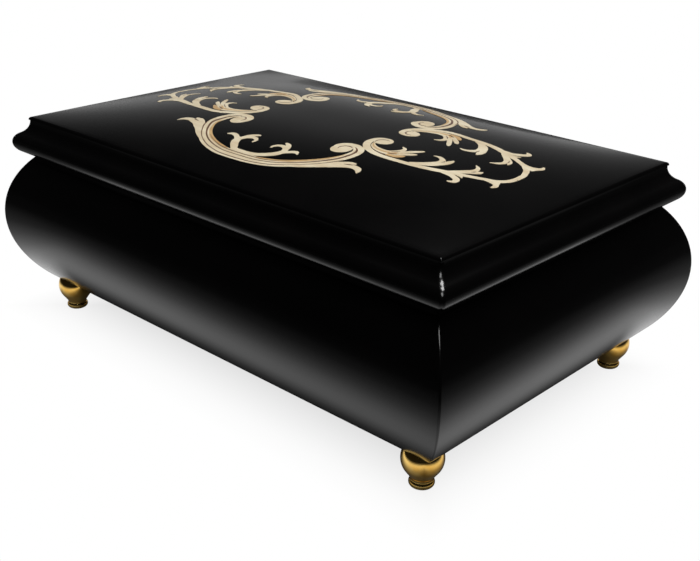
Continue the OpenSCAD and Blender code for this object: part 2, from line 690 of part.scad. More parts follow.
// Steel comb: long bass teeth at one end, short treble teeth at the other
module comb() {
  slot = note_pitch * 0.36;
  u_first = comb_u0 + (comb_u1 - comb_u0 - note_count * note_pitch) / 2;
  color("#9aa0a3") in_movement() difference() {
    union() {
      translate([comb_u0, comb_v, axis_h - comb_t / 2]) cube([comb_u1 - comb_u0, comb_back - comb_v, comb_t]);
      translate([comb_u0, comb_back - comb_base_w, axis_h + comb_t / 2 - eps])
        cube([comb_u1 - comb_u0, comb_base_w, 1 + eps]);
    }
    for (i = [1:note_count - 1])
      translate([u_first + i * note_pitch - slot / 2, comb_v - 1, axis_h - comb_t])
        cube([slot, 1 + comb_short + (comb_long - comb_short) * (1 - i / note_count), 2 * comb_t]);
    for (u = comb_screws_u) translate([u, comb_back - comb_base_w / 2, axis_h - 2])
      cylinder(r = 1 + run, h = 6);
  }
}
module comb_screws() {
  color("#8d8d8a") in_movement() for (u = comb_screws_u)
    translate([u, comb_back - comb_base_w / 2, axis_h + comb_t / 2 + 1]) difference() {
      union() {
        cylinder(r = 2, h = 1.3);
        translate([0, 0, -comb_t - 1 - 5]) cylinder(r = 1, h = comb_t + 6 + eps);
      }
      translate([-3, -0.3, 0.7]) cube([6, 0.6, 1]);
    }
}
module governor_bracket() {
  v0 = worm_v - bracket_lip;
  v1 = gov_v + bracket_lip;
  across = 2 * cheek_t + cheek_gap;
  color("#c2a050") in_movement() difference() {
    union() {
      translate([u_cheek1, bed_v0 + 1, 0]) cube([across, v1 - bed_v0 - 1, bracket_base]);
      for (u = [u_cheek1, u_cheek2]) {
        translate([u, v0, 0]) cube([cheek_t, v1 - v0, bracket_h]);
        translate([u, lever_v - lever_ear + 0.2, lever_h - lever_ear])
          cube([cheek_t, worm_v - lever_v + lever_ear - 0.2, 2 * lever_ear]);
      }
      translate([u_cheek1, v0, bracket_h - bracket_bar]) cube([across, bracket_bar_w, bracket_bar]);
    }
    bar_u(u_cheek1 - 1, across + 2, gov_v, axis_h, shaft_r + run);
    bar_u(u_cheek1 - 1, across + 2, lever_v, lever_h, shaft_r + run);
    translate([u_worm, worm_v, 0.4]) cylinder(r = 0.6 + run, h = bracket_h);
    for (u = bracket_screws_u) translate([u, bracket_screw_v, -1]) cylinder(r = 0.8 + run, h = 4);
  }
}
module bracket_screws() {
  color("#8d8d8a") in_movement() for (u = bracket_screws_u)
    translate([u, bracket_screw_v, bracket_base]) difference() {
    union() {
      cylinder(r = 1.5, h = 1);
      translate([0, 0, -bracket_base - 1.8]) cylinder(r = 0.8, h = bracket_base + 1.8 + eps);
    }
    translate([-2, -0.25, 0.5]) cube([4, 0.5, 1]);
  }
}

// Movement, winding and mainspring

module winding_arbor() {
  color("#8d8d8a") in_movement() {
    translate([0, 0, 1.4 - key_drop - bed_t - bottom_t]) cylinder(r = arbor_r - 0.4, h = key_drop - key_gap);
    translate([0, 0, -bed_t - bottom_t - key_gap])
      cylinder(r = arbor_r, h = bed_t + bottom_t + barrel_seat + barrel_h + cap_t + 1);
  }
}
// Butterfly key: hub and two rounded wings
module winding_key() {
  wing = key_span / 2 - key_lobe;
  color("#c9a24a") in_movement() translate([0, 0, -bed_t - bottom_t]) difference() {
    union() {
      translate([0, 0, -key_drop]) cylinder(r = arbor_r + 1, h = key_hub_h);
      translate([0, key_wing_t / 2, 1 - key_drop]) rotate([90, 0, 0]) linear_extrude(key_wing_t) {
        translate([-wing, 0]) circle(r = key_lobe);
        translate([wing, 0]) circle(r = key_lobe);
        translate([-wing, -key_lobe / 2]) square([2 * wing, key_lobe]);
      }
    }
    translate([0, 0, 1.2 - key_drop]) cylinder(r = arbor_r - 0.4 + fix, h = key_drop + 2);
    for (s = [-1, 1]) translate([s * wing, key_wing_t, 1 - key_drop]) rotate([90, 0, 0])
      cylinder(r = key_lobe - 1.9, h = 2 * key_wing_t);
  }
}
module spring_barrel() {
  color("#c2a050") in_movement() translate([0, 0, barrel_seat]) difference() {
    cylinder(r = barrel_r, h = barrel_h);
    translate([0, 0, barrel_wall]) cylinder(r = barrel_r - barrel_wall, h = barrel_h);
    translate([0, 0, -1]) cylinder(r = arbor_r + run, h = barrel_h);
  }
}
// Cap of the barrel, with the crown teeth that drive the cylinder
module barrel_cap() {
  root = 1.35;
  tip = 0.4;
  color("#b98f3c") in_movement() translate([0, 0, barrel_seat + barrel_h]) difference() {
    union() {
      cylinder(r = barrel_r, h = cap_t);
      for (i = [0:crown_teeth - 1]) rotate([0, 0, (i + 0.5) * 360 / crown_teeth])
        translate([crown_pr - crown_face / 2, 0, cap_t]) rotate([90, 0, 90]) linear_extrude(crown_face)
          polygon([[-root / 2, -0.3], [root / 2, -0.3], [tip / 2, crown_ded + crown_add],
            [-tip / 2, crown_ded + crown_add]]);
    }
    translate([0, 0, -1]) cylinder(r = arbor_r + run, h = cap_t + 2);
  }
}
// Steel strip wound between arbor and barrel wall
module mainspring() {
  turns = 6;
  r0 = arbor_r + 0.5;
  r1 = barrel_r - barrel_wall - 0.3;
  t = 0.35;
  steps = turns * 24;
  line = function (i, s) let(r = r0 + t + (r1 - r0 - t) * i / steps, a = i * 15)
    (r + s * t / 2 - t / 2) * [cos(a), sin(a)];
  color("#5f666b") in_movement() translate([0, 0, barrel_seat + barrel_wall + 0.2])
    linear_extrude(barrel_h - barrel_wall - 0.6)
      polygon(concat([for (i = [0:steps]) line(i, -1)], [for (i = [steps:-1:0]) line(i, 1)]));
}

// Movement, cylinder

module pinned_cylinder() {
  per_note = 6;
  u_first = comb_u0 + (comb_u1 - comb_u0 - note_count * note_pitch) / 2;
  color("#cfa94f") in_movement() union() {
    difference() {
      bar_u(u_cyl, cyl_len, 0, axis_h, cyl_r);
      bar_u(u_cyl + 1, cyl_len, 0, axis_h, cyl_r - 0.9);
      bar_u(u_cyl - 1, cyl_len, 0, axis_h, cyl_shaft_r + fix);
    }
    for (i = [0:note_count - 1]) for (j = [0:per_note - 1])
      translate([u_first + (i + 0.5) * note_pitch, 0, axis_h])
        rotate([j * 360 / per_note + (i * 47 + j * j * 19) % 50, 0, 0])
          translate([-0.18, -0.18, cyl_r - 0.4]) cube([0.36, 0.36, pin_out + 0.4]);
  }
}
module cylinder_arbor() {
  u0 = crown_pr - crown_face / 2 - 0.8;
  color("#8d8d8a") in_movement() bar_u(u0, u_post2 + post_t + 0.6 - u0, 0, axis_h, cyl_shaft_r);
}
module cylinder_pinion() {
  color("#b98f3c") in_movement() difference() {
    translate([0, 0, axis_h]) along_u(crown_pr - crown_face / 2 - 0.2, crown_face + 0.4)
      polygon(gear_points(pinion_teeth, crown_mod, 25, 0.45, 0.65, 0.62, 18));
    bar_u(0, u_post1, 0, axis_h, cyl_shaft_r + fix);
  }
}
module cylinder_wheel() {
  color("#b98f3c") in_movement() difference() {
    union() {
      translate([0, 0, axis_h]) along_u(u_wheel, wheel_t)
        polygon(gear_points(cyl_wheel_teeth, wheel_mod, 25, 0.36, 0.5, 0.55, 0));
      bar_u(u_cyl + cyl_len, 0.6, 0, axis_h, cyl_shaft_r + 1.5);
    }
    bar_u(u_cyl, cyl_len + 10, 0, axis_h, cyl_shaft_r + fix);
  }
}

// Movement, governor

module governor_arbor() {
  color("#8d8d8a") in_movement()
    bar_u(u_wheel - 0.4, u_cheek2 + cheek_t + 0.3 - u_wheel + 0.4, gov_v, axis_h, shaft_r);
}
module governor_pinion() {
  color("#b98f3c") in_movement() difference() {
    translate([0, gov_v, axis_h]) along_u(u_wheel - 0.2, wheel_t + 0.4)
      polygon(gear_points(gov_pinion_teeth, wheel_mod, 25, 0.36, 0.5, 0.55, 18));
    bar_u(u_wheel - 2, 6, gov_v, axis_h, shaft_r + fix);
  }
}
module governor_wheel() {
  color("#b98f3c") in_movement() difference() {
    union() {
      translate([0, gov_v, axis_h]) along_u(u_worm - 0.4, 0.8)
        polygon(gear_points(gov_wheel_teeth, worm_mod, 25, 0.3, 0.65, 0.36, 0));
      bar_u(u_worm - 1.4, 2.8, gov_v, axis_h, shaft_r + 1);
    }
    bar_u(u_worm - 3, 6, gov_v, axis_h, shaft_r + fix);
  }
}
// Worm on its upright spindle
module worm() {
  color("#e8e4da") in_movement() translate([u_worm, worm_v, 0]) {
    translate([0, 0, axis_h - worm_len / 2]) rotate([0, 0, 270 - 180 * worm_len / worm_pitch])
      linear_extrude(worm_len, twist = -360 * worm_len / worm_pitch, slices = 54, $fn = 20)
        translate([worm_e, 0]) circle(r = worm_r);
    translate([0, 0, 0.5]) cylinder(r = 0.6, h = axis_h - worm_len / 2 - 0.3);
    translate([0, 0, axis_h + worm_len / 2 - 0.2]) cylinder(r = 0.6, h = bracket_h - axis_h - worm_len / 2);
  }
}
module air_fan() {
  fan_z = 3.4;
  fan_h = 5.4;
  color("#e8e4da") in_movement() translate([u_worm, worm_v, fan_z]) difference() {
    union() {
      cylinder(r = 1.3, h = fan_h);
      for (a = [0, 180]) rotate([0, 0, a]) translate([0, -0.3, 0.4]) cube([fan_r - 0.1, 0.6, fan_h - 0.8]);
    }
    translate([0, 0, -1]) cylinder(r = 0.6 + fix, h = fan_h + 2);
  }
}

// Stop work

module stop_plunger() {
  color("#c9a24a") translate([plunger_x, plunger_y, 0]) {
    translate([0, 0, plunger_z0]) cylinder(r = plunger_r, h = plunger_z1 - plunger_z0);
    translate([0, 0, z_window - 3 - plunger_travel - 1.7]) cylinder(r = plunger_r + 0.8, h = 1);
  }
}
module stop_lever() {
  pad_v = worm_v - fan_r - 0.2;
  color("#8d8d8a") in_movement() union() {
    bar_u(u_cheek1 - 0.4, u_arm + arm_w - u_cheek1 + 0.4, lever_v, lever_h, shaft_r);
    along_u(u_worm - 0.5, 1) union() {
      translate([lever_v, lever_h]) circle(r = shaft_r + 0.8);
      polygon([[lever_v - 0.7, lever_h], [lever_v + 0.7, lever_h], [pad_v - 0.9, 8.6], [pad_v, 8.6],
        [pad_v, 3.8], [pad_v - 1.8, 3.8], [pad_v - 1.8, 8.4]]);
    }
    along_u(u_arm, arm_w) union() {
      translate([lever_v, lever_h]) circle(r = shaft_r + 0.8);
      translate([lever_v - arm_reach, lever_h - arm_half]) square([arm_reach, 2 * arm_half]);
    }
  }
}

front_moulding();
back_moulding();
left_moulding();
right_moulding();
bottom_panel();
foot_front_left();
foot_front_right();
foot_back_left();
foot_back_right();
hinge_case_leaves();
hinge_pins();
hinge_case_screws();
partition();
window_ledges();
movement_window();
compartment_lining();
roll_divider();
ring_rolls();
bedplate();
bedplate_screws();
comb();
comb_screws();
governor_bracket();
bracket_screws();
plunger_guide();
lid_front_moulding();
lid_back_moulding();
lid_left_moulding();
lid_right_moulding();
lid_panel();
lid_inlay();
lid_board();
lid_mirror();
hinge_lid_leaves();
hinge_lid_screws();
winding_arbor();
winding_key();
spring_barrel();
barrel_cap();
mainspring();
pinned_cylinder();
cylinder_arbor();
cylinder_pinion();
cylinder_wheel();
governor_arbor();
governor_pinion();
governor_wheel();
worm();
air_fan();
stop_plunger();
stop_lever();
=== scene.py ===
"""Music box in black lacquer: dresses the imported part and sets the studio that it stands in."""

import logging
import math
from dataclasses import dataclass, field
from enum import Enum
from typing import Optional, Sequence

import bmesh
import bpy
from mathutils import Matrix, Vector, noise


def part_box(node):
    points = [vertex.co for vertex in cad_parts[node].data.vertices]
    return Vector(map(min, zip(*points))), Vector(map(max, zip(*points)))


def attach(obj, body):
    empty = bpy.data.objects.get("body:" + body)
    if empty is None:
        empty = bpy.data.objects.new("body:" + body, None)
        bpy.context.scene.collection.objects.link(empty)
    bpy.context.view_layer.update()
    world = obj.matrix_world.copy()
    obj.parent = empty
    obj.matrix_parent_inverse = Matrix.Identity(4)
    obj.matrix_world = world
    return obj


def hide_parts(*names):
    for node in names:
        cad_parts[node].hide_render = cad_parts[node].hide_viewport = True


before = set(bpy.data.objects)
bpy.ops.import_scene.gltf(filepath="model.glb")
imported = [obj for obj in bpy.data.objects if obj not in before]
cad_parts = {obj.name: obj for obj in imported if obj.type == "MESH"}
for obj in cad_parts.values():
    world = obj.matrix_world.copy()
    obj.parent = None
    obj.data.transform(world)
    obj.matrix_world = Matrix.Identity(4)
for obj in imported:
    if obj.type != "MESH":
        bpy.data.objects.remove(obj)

LOG = logging.getLogger("music_box")
MM = 0.001
Pair = tuple[float, float]
Point = tuple[float, float, float]
Colour = tuple[float, float, float]
Section = list[Pair]
Levels = Sequence[Pair]
Shape = tuple[list[Point], list[Sequence[int]]]
Socket = bpy.types.NodeSocket
Value = Socket | float | Sequence[float]


class Side(Enum):
    """The four sides of the box, each with the quarter turns that bring the front to it."""

    FRONT = 0
    RIGHT = 1
    BACK = 2
    LEFT = 3

    def place(self, along: float, out: float) -> Pair:
        """Turn a run along the front, seen from outside, and a reach outwards into x and y."""
        return ((along, -out), (out, along), (-along, out), (-out, -along))[self.value]


class Tone(Enum):
    """Veneers of the inlay, in the order of its material slots."""

    CREAM = 0
    LINE = 1
    TAN = 2


@dataclass(frozen=True)
class Measures:
    """Sizes that the sub-assemblies share, in millimetres."""

    half_l: float = 100.0
    half_w: float = 64.0
    z_case: float = 13.0
    case_h: float = 48.0
    bottom_t: float = 4.0
    lid_gap: float = 0.4
    lid_h: float = 12.0
    setback: float = 5.1
    panel_edge: float = 1.1
    dome_h: float = 6.5
    dome_full: float = 2.5

    @property
    def z_rim(self) -> float:
        """Height of the rim of the case."""
        return self.z_case + self.case_h

    @property
    def z_lid(self) -> float:
        """Height of the lid's underside."""
        return self.z_rim + self.lid_gap

    @property
    def z_panel(self) -> float:
        """Height of the joint between lid frame and panel."""
        return self.z_lid + self.lid_h

    @property
    def top_x(self) -> float:
        """Half length of the domed panel."""
        return self.half_l - self.setback

    @property
    def top_y(self) -> float:
        """Half width of the domed panel."""
        return self.half_w - self.setback

    def dome(self, x: float, y: float) -> float:
        """Height of the domed top.

        Args:
            x: Place along the length.
            y: Place across the width.

        Returns:
            The height over the table.
        """
        u = min(1.0, abs(x) / self.top_x) ** self.dome_full
        v = min(1.0, abs(y) / self.top_y) ** self.dome_full
        return self.z_panel + self.panel_edge + self.dome_h * (1 - u) * (1 - v)


class Tree:
    """A node tree that is drawn node by node."""

    def __init__(self, tree: bpy.types.NodeTree) -> None:
        """Start with an empty tree.

        Args:
            tree: The tree, which loses the nodes that it came with.
        """
        self.tree = tree
        tree.nodes.clear()

    def put(self, socket: Socket, value: Value) -> None:
        """Set a socket, or link it where the value is a socket too.

        Args:
            socket: The socket that is fed.
            value: A socket, a number, a vector or a colour.
        """
        if isinstance(value, Socket):
            self.tree.links.new(value, socket)
        elif socket.type == "RGBA":
            socket.default_value = (*value, 1.0)
        else:
            socket.default_value = value

    def add(self, kind: str, inputs: Optional[dict[str | int, Value]] = None) -> bpy.types.Node:
        """Add a node.

        Args:
            kind: The end of its type's name.
            inputs: Values by the name or number of their socket.

        Returns:
            The node.
        """
        node = self.tree.nodes.new(f"ShaderNode{kind}")
        for key, value in (inputs or {}).items():
            self.put(node.inputs[key], value)
        return node

    def math(self, operation: str, first: Value, second: Value = 0.0) -> Socket:
        """Join two numbers.

        Args:
            operation: What is done, in Blender's own word.
            first: A socket or a number.
            second: A socket or a number.

        Returns:
            The socket with the result.
        """
        node = self.add("Math", {0: first, 1: second})
        node.operation = operation
        return node.outputs["Value"]

    def mix(self, share: Socket, first: Socket, second: Socket) -> Socket:
        """Mix two shaders.

        Args:
            share: How much of the second one shows.
            first: The first shader.
            second: The second shader.

        Returns:
            The socket with the mixed shader.
        """
        return self.add("MixShader", {"Fac": share, 1: first, 2: second}).outputs["Shader"]

    def ramp(self, value: Socket, stops: Sequence[tuple[float, Colour]]) -> Socket:
        """Colours by value.

        Args:
            value: The socket that is read.
            stops: Places from 0 to 1 with their colours.

        Returns:
            The socket with the colour.
        """
        node = self.add("ValToRGB", {"Fac": value})
        points = node.color_ramp.elements
        while len(points) < len(stops):
            points.new(0.5)
        for point, (at, colour) in zip(points, stops):
            point.position = at
            point.color = (*colour, 1.0)
        return node.outputs["Color"]

    def curve(self, value: Socket, span: float, stops: Levels) -> Socket:
        """Levels by value.

        Args:
            value: The socket that is read.
            span: The value that counts as the end of the curve.
            stops: Values with their levels, at rising values.

        Returns:
            The socket with the level.
        """
        share = self.math("DIVIDE", value, span)
        return self.ramp(share, [(at / span, (level, level, level)) for at, level in stops])


class Sketch(Tree):
    """A material with a principled shader, drawn in the object's own place."""

    def __init__(self, name: str) -> None:
        """Start the material.

        Args:
            name: Its name.
        """
        self.material = bpy.data.materials.new(name)
        self.material.use_nodes = True
        super().__init__(self.material.node_tree)
        self.surface = self.add("OutputMaterial").inputs["Surface"]
        self.shader = self.add("BsdfPrincipled")
        self.put(self.surface, self.shader.outputs["BSDF"])
        self.place = self.add("TexCoord").outputs["Object"]

    def set(self, **values: Value) -> None:
        """Feed sockets of the shader.

        Args:
            values: Socket names with underscores for spaces, and what they get.
        """
        for name, value in values.items():
            self.put(self.shader.inputs[name.replace("_", " ")], value)

    def noise(
        self, scale: float, detail: float = 3.0, stretch: Point = (1, 1, 1), rough: float = 0.5
    ) -> Socket:
        """Noise in the object's own place.

        Args:
            scale: Waves to a metre.
            detail: Octaves.
            stretch: Factors along the three axes.
            rough: How strong the finer octaves are.

        Returns:
            The socket with the noise value.
        """
        moved = self.add("Mapping", {"Vector": self.place, "Scale": stretch}).outputs["Vector"]
        waves = {"Vector": moved, "Scale": scale, "Detail": detail, "Roughness": rough}
        return self.add("TexNoise", waves).outputs["Fac"]

    def rings(self, scale: float, wander: float) -> Socket:
        """Level bands, one above the other.

        Args:
            scale: Bands to a metre, roughly.
            wander: How much the bands are disturbed.

        Returns:
            The socket with the band value.
        """
        node = self.add("TexWave", {"Vector": self.place, "Scale": scale, "Distortion": wander})
        node.bands_direction = "Z"
        return node.outputs["Fac"]

    def between(self, value: Socket, low: float, high: float) -> Socket:
        """Spread a noise value over a range.

        Args:
            value: The socket that is read, which mostly stays between 0.3 and 0.7.
            low: Result where the noise is low.
            high: Result where the noise is high.

        Returns:
            The socket with the result.
        """
        ends = {"From Min": 0.3, "From Max": 0.7, "To Min": low, "To Max": high}
        return self.add("MapRange", {"Value": value, **ends}).outputs["Result"]

    def bump(self, height: Socket, strength: float, depth: float) -> None:
        """Raise the surface by a value.

        Args:
            height: The socket that is read.
            strength: How much of the relief shows.
            depth: The relief's depth in metres.
        """
        node = self.add("Bump", {"Strength": strength, "Distance": depth, "Height": height})
        self.set(Normal=node.outputs["Normal"])


@dataclass(frozen=True)
class Finish:
    """A finish with a name and two tones, which its kind draws as a material."""

    name: str
    dark: Colour
    light: Colour

    def material(self) -> bpy.types.Material:
        """Give the material, drawn at its first use.

        Returns:
            The material.
        """
        known = bpy.data.materials.get(self.name)
        if known:
            return known
        s = Sketch(self.name)
        self.draw(s)
        return s.material

    def draw(self, s: Sketch) -> None:
        """Draw the material."""
        raise NotImplementedError

    def tone(self, s: Sketch, value: Socket, dark_at: float, light_at: float) -> None:
        """Colour a material from the dark tone to the light one.

        Args:
            s: The material.
            value: The socket that is read.
            dark_at: Where the dark tone ends.
            light_at: Where the light tone starts.
        """
        s.set(Base_Color=s.ramp(value, [(dark_at, self.dark), (light_at, self.light)]))


@dataclass(frozen=True)
class Lacquer(Finish):
    """Rubbed black lacquer over close-grained wood."""

    gloss: Pair = (0.17, 0.23)

    def draw(self, s: Sketch) -> None:
        """Draw a faint orange peel and cloudy gloss.

        Args:
            s: The material.
        """
        s.set(Specular_IOR_Level=0.27, Coat_Weight=0.2, Coat_Roughness=0.06)
        self.tone(s, s.noise(35, 4), 0.3, 0.75)
        s.set(Roughness=s.between(s.noise(22, 5), *self.gloss))
        s.bump(s.noise(260, 2), strength=0.02, depth=0.0002)


@dataclass(frozen=True)
class Veneer(Finish):
    """Thin veneer under lacquer, with fine grain."""

    grain: float = 260.0
    pores: float = 1400.0

    def draw(self, s: Sketch) -> None:
        """Draw grain along the box.

        Args:
            s: The material.
        """
        s.set(Specular_IOR_Level=0.4, Coat_Weight=0.25, Coat_Roughness=0.15)
        self.tone(s, s.noise(self.grain, 6, (0.25, 1, 1), 0.65), 0.3, 0.62)
        s.set(Roughness=s.between(s.noise(180, 3), 0.34, 0.46))
        s.bump(s.noise(self.pores, 3, (0.2, 1, 1)), strength=0.12, depth=0.0001)


@dataclass(frozen=True)
class Metal(Finish):
    """Worked metal: polished, brushed or cast."""

    gloss: Pair = (0.1, 0.2)
    stretch: Point = (1, 1, 1)
    grit: float = 1500.0
    relief: float = 0.04

    def draw(self, s: Sketch) -> None:
        """Draw tool marks and patches of tarnish.

        Args:
            s: The material.
        """
        s.set(Metallic=1.0)
        self.tone(s, s.noise(140, 5), 0.1, 0.86)
        s.set(Roughness=s.between(s.noise(self.grit * 0.4, 4, self.stretch), *self.gloss))
        s.bump(s.noise(self.grit, 3, self.stretch), strength=self.relief, depth=0.0002)


@dataclass(frozen=True)
class TurnedMetal(Finish):
    """Polished metal with the fine rings that a lathe leaves."""

    gloss: Pair = (0.04, 0.1)

    def draw(self, s: Sketch) -> None:
        """Draw rings about the upright axis.

        Args:
            s: The material.
        """
        s.set(Metallic=1.0)
        self.tone(s, s.noise(190, 5), 0.32, 0.62)
        s.set(Roughness=s.between(s.noise(420, 4, (0.4, 0.4, 3)), *self.gloss))
        s.bump(s.rings(900, 0.6), strength=0.03, depth=0.0001)


@dataclass(frozen=True)
class Velvet(Finish):
    """Short-pile velvet."""

    sheen: Colour = (0.95, 0.45, 0.5)

    def draw(self, s: Sketch) -> None:
        """Draw brushed patches and a pale sheen at the edges.

        Args:
            s: The material.
        """
        s.set(Roughness=0.95, Specular_IOR_Level=0.1)
        s.set(Sheen_Weight=0.7, Sheen_Roughness=0.35, Sheen_Tint=self.sheen)
        self.tone(s, s.noise(75, 5, (1, 0.6, 1)), 0.32, 0.66)
        s.bump(s.noise(3200, 2), strength=0.5, depth=0.0004)


@dataclass(frozen=True)
class StainedBoard(Finish):
    """Dark stained board with open grain along the box."""

    def draw(self, s: Sketch) -> None:
        """Draw streaks of grain.

        Args:
            s: The material.
        """
        s.set(Specular_IOR_Level=0.35)
        grain = s.noise(320, 7, (0.06, 1, 1), 0.6)
        self.tone(s, grain, 0.34, 0.66)
        s.set(Roughness=s.between(s.noise(90, 4, (0.1, 1, 1)), 0.45, 0.62))
        s.bump(grain, strength=0.25, depth=0.0003)


@dataclass(frozen=True)
class Glass(Finish):
    """Clear plate glass that lets lamps through."""

    def draw(self, s: Sketch) -> None:
        """Draw faint waves and a green tint.

        Args:
            s: The material.
        """
        s.set(Base_Color=self.light, IOR=1.5, Transmission_Weight=1.0)
        s.set(Roughness=s.between(s.noise(60, 4), 0.0, 0.02))
        s.bump(s.noise(40, 2), strength=0.02, depth=0.0003)
        clear = s.add("BsdfTransparent", {"Color": self.light}).outputs["BSDF"]
        shaded = s.add("LightPath").outputs["Is Shadow Ray"]
        s.put(s.surface, s.mix(shaded, s.shader.outputs["BSDF"], clear))


@dataclass(frozen=True)
class Silvering(Finish):
    """Silvered mirror glass."""

    def draw(self, s: Sketch) -> None:
        """Draw a trace of haze.

        Args:
            s: The material.
        """
        s.set(Metallic=1.0)
        self.tone(s, s.noise(30, 3), 0.2, 0.6)
        s.set(Roughness=s.between(s.noise(45, 6), 0.012, 0.035))


@dataclass(frozen=True)
class Moulded(Finish):
    """Moulded plastic with a fine grain from its mould."""

    def draw(self, s: Sketch) -> None:
        """Draw grain and cloudy colour.

        Args:
            s: The material.
        """
        s.set(Specular_IOR_Level=0.5, Subsurface_Weight=0.1, Subsurface_Radius=(0.002, 0.002, 0.0015))
        self.tone(s, s.noise(240, 4), 0.3, 0.65)
        s.set(Roughness=s.between(s.noise(600, 3), 0.38, 0.52))
        s.bump(s.noise(4000, 2), strength=0.15, depth=0.0001)


LACQUER = Lacquer("black_lacquer", (0.0008, 0.0008, 0.0009), (0.0018, 0.0016, 0.0016))
CREAM = Veneer("cream_veneer", (0.6, 0.47, 0.29), (0.78, 0.69, 0.5))
BROWN = Veneer("brown_line", (0.06, 0.024, 0.012), (0.15, 0.07, 0.035))
TAN = Veneer("tan_veneer", (0.46, 0.27, 0.11), (0.62, 0.42, 0.2))
GOLD = TurnedMetal("turned_brass", (0.8, 0.42, 0.06), (0.98, 0.66, 0.2))
BRASS = Metal("polished_brass", (0.62, 0.41, 0.14), (0.83, 0.6, 0.27), (0.14, 0.26))
STEEL = Metal("ground_steel", (0.4, 0.41, 0.43), (0.6, 0.61, 0.62), (0.2, 0.36), (1, 0.06, 1), 1800.0, 0.08)
BLUED = Metal("spring_steel", (0.12, 0.14, 0.18), (0.26, 0.29, 0.34), (0.22, 0.34), (1, 1, 0.1), 1500.0, 0.05)
CAST = Metal("cast_bedplate", (0.26, 0.255, 0.245), (0.4, 0.392, 0.375), (0.4, 0.54), (1, 1, 1), 700.0, 0.22)
RED_VELVET = Velvet("red_velvet", (0.105, 0.006, 0.015), (0.2, 0.012, 0.028))
BOARD = StainedBoard("stained_board", (0.012, 0.0085, 0.007), (0.05, 0.034, 0.026))
PLATE_GLASS = Glass("plate_glass", (0.9, 0.95, 0.94), (0.95, 0.985, 0.98))
MIRROR = Silvering("silvered_glass", (0.84, 0.87, 0.87), (0.92, 0.94, 0.94))
NYLON = Moulded("moulded_nylon", (0.6, 0.56, 0.46), (0.78, 0.75, 0.66))


def make_piece(
    name: str,
    shape: Shape,
    finishes: Sequence[Finish],
    body: str,
    node: str,
    sharp: float,
    tones: Optional[Sequence[int]] = None,
    at: Point = (0.0, 0.0, 0.0),
) -> bpy.types.Object:
    """Make a mesh piece that rides on a body.

    Args:
        name: The piece's name.
        shape: Points in millimetres, counted from at, and faces.
        finishes: The finishes of its material slots.
        body: The body that it moves with.
        node: The node that it stands for.
        sharp: Edges that turn by more than this, in degrees, stay crisp.
        tones: The material slot of each face.
        at: Place of the piece's own origin in millimetres.

    Returns:
        The new object.
    """
    mesh = raw_mesh(name, shape)
    for finish in finishes:
        mesh.materials.append(finish.material())
    if tones is not None:
        mesh.polygons.foreach_set("material_index", tones)
    outwards(mesh)
    piece = link(name, mesh)
    piece.location = Vector(at) * MM
    soften(mesh, sharp)
    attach(piece, body)
    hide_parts(node)
    LOG.info("%s: %d faces on %s", name, len(mesh.polygons), body)
    return piece


def raw_mesh(name: str, shape: Shape, scale: float = 1.0) -> bpy.types.Mesh:
    """Make a mesh.

    Args:
        name: Its name.
        shape: Points in millimetres and faces.
        scale: How much larger than the object it is.

    Returns:
        The mesh, in metres.
    """
    points, faces = shape
    mesh = bpy.data.meshes.new(name)
    mesh.from_pydata([Vector(p) * MM * scale for p in points], [], [list(f) for f in faces])
    return mesh


def link(name: str, data: bpy.types.ID) -> bpy.types.Object:
    """Put an object in the scene.

    Args:
        name: Its name.
        data: Its mesh, lamp or camera.

    Returns:
        The object.
    """
    made = bpy.data.objects.new(name, data)
    bpy.context.scene.collection.objects.link(made)
    return made


def outwards(mesh: bpy.types.Mesh) -> None:
    """Turn the faces of a mesh to look outwards.

    Args:
        mesh: The mesh.
    """
    shape = bmesh.new()
    shape.from_mesh(mesh)
    bmesh.ops.recalc_face_normals(shape, faces=shape.faces)
    shape.to_mesh(mesh)
    shape.free()


def soften(mesh: bpy.types.Mesh, sharp: float) -> None:
    """Shade a mesh smooth, apart from edges that turn by more than an angle in degrees."""
    mesh.shade_smooth()
    mesh.set_sharp_from_angle(angle=math.radians(sharp))


def dress(finish: Finish, *nodes: str) -> None:
    """Give nodes a finish.

    Args:
        finish: The finish.
        nodes: Names of nodes whose own shape is shown.
    """
    for name in nodes:
        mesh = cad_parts[name].data
        mesh.materials.clear()
        mesh.materials.append(finish.material())
        LOG.info("%s: %s", name, finish.name)


def arc(centre: Pair, radius: float, start: float, end: float, steps: int) -> Section:
    """Points of an arc.

    Args:
        centre: Its middle.
        radius: Its radius.
        start: First angle in degrees.
        end: Last angle in degrees.
        steps: Number of stretches.

    Returns:
        The points from start to end.
    """
    turns = [math.radians(start + (end - start) * i / steps) for i in range(steps + 1)]
    return [(centre[0] + radius * math.cos(t), centre[1] + radius * math.sin(t)) for t in turns]


def rounded(section: Section, radius: float, which: Sequence[int], steps: int = 4) -> Section:
    """Round some corners of a closed section.

    Args:
        section: Its corners.
        radius: Radius of the roundings.
        which: Numbers of the corners that are rounded.
        steps: Stretches in each rounding.

    Returns:
        The new corners.
    """
    out: Section = []
    for i, p in enumerate(section):
        if i not in which:
            out.append(p)
            continue
        here = Vector(p)
        before = (Vector(section[i - 1]) - here).normalized()
        after = (Vector(section[(i + 1) % len(section)]) - here).normalized()
        reach = radius / math.tan(before.angle(after) / 2)
        a = here + before * reach
        b = here + after * reach
        for k in range(steps + 1):
            t = k / steps
            out.append(tuple((1 - t) ** 2 * a + 2 * t * (1 - t) * here + t * t * b))
    return out


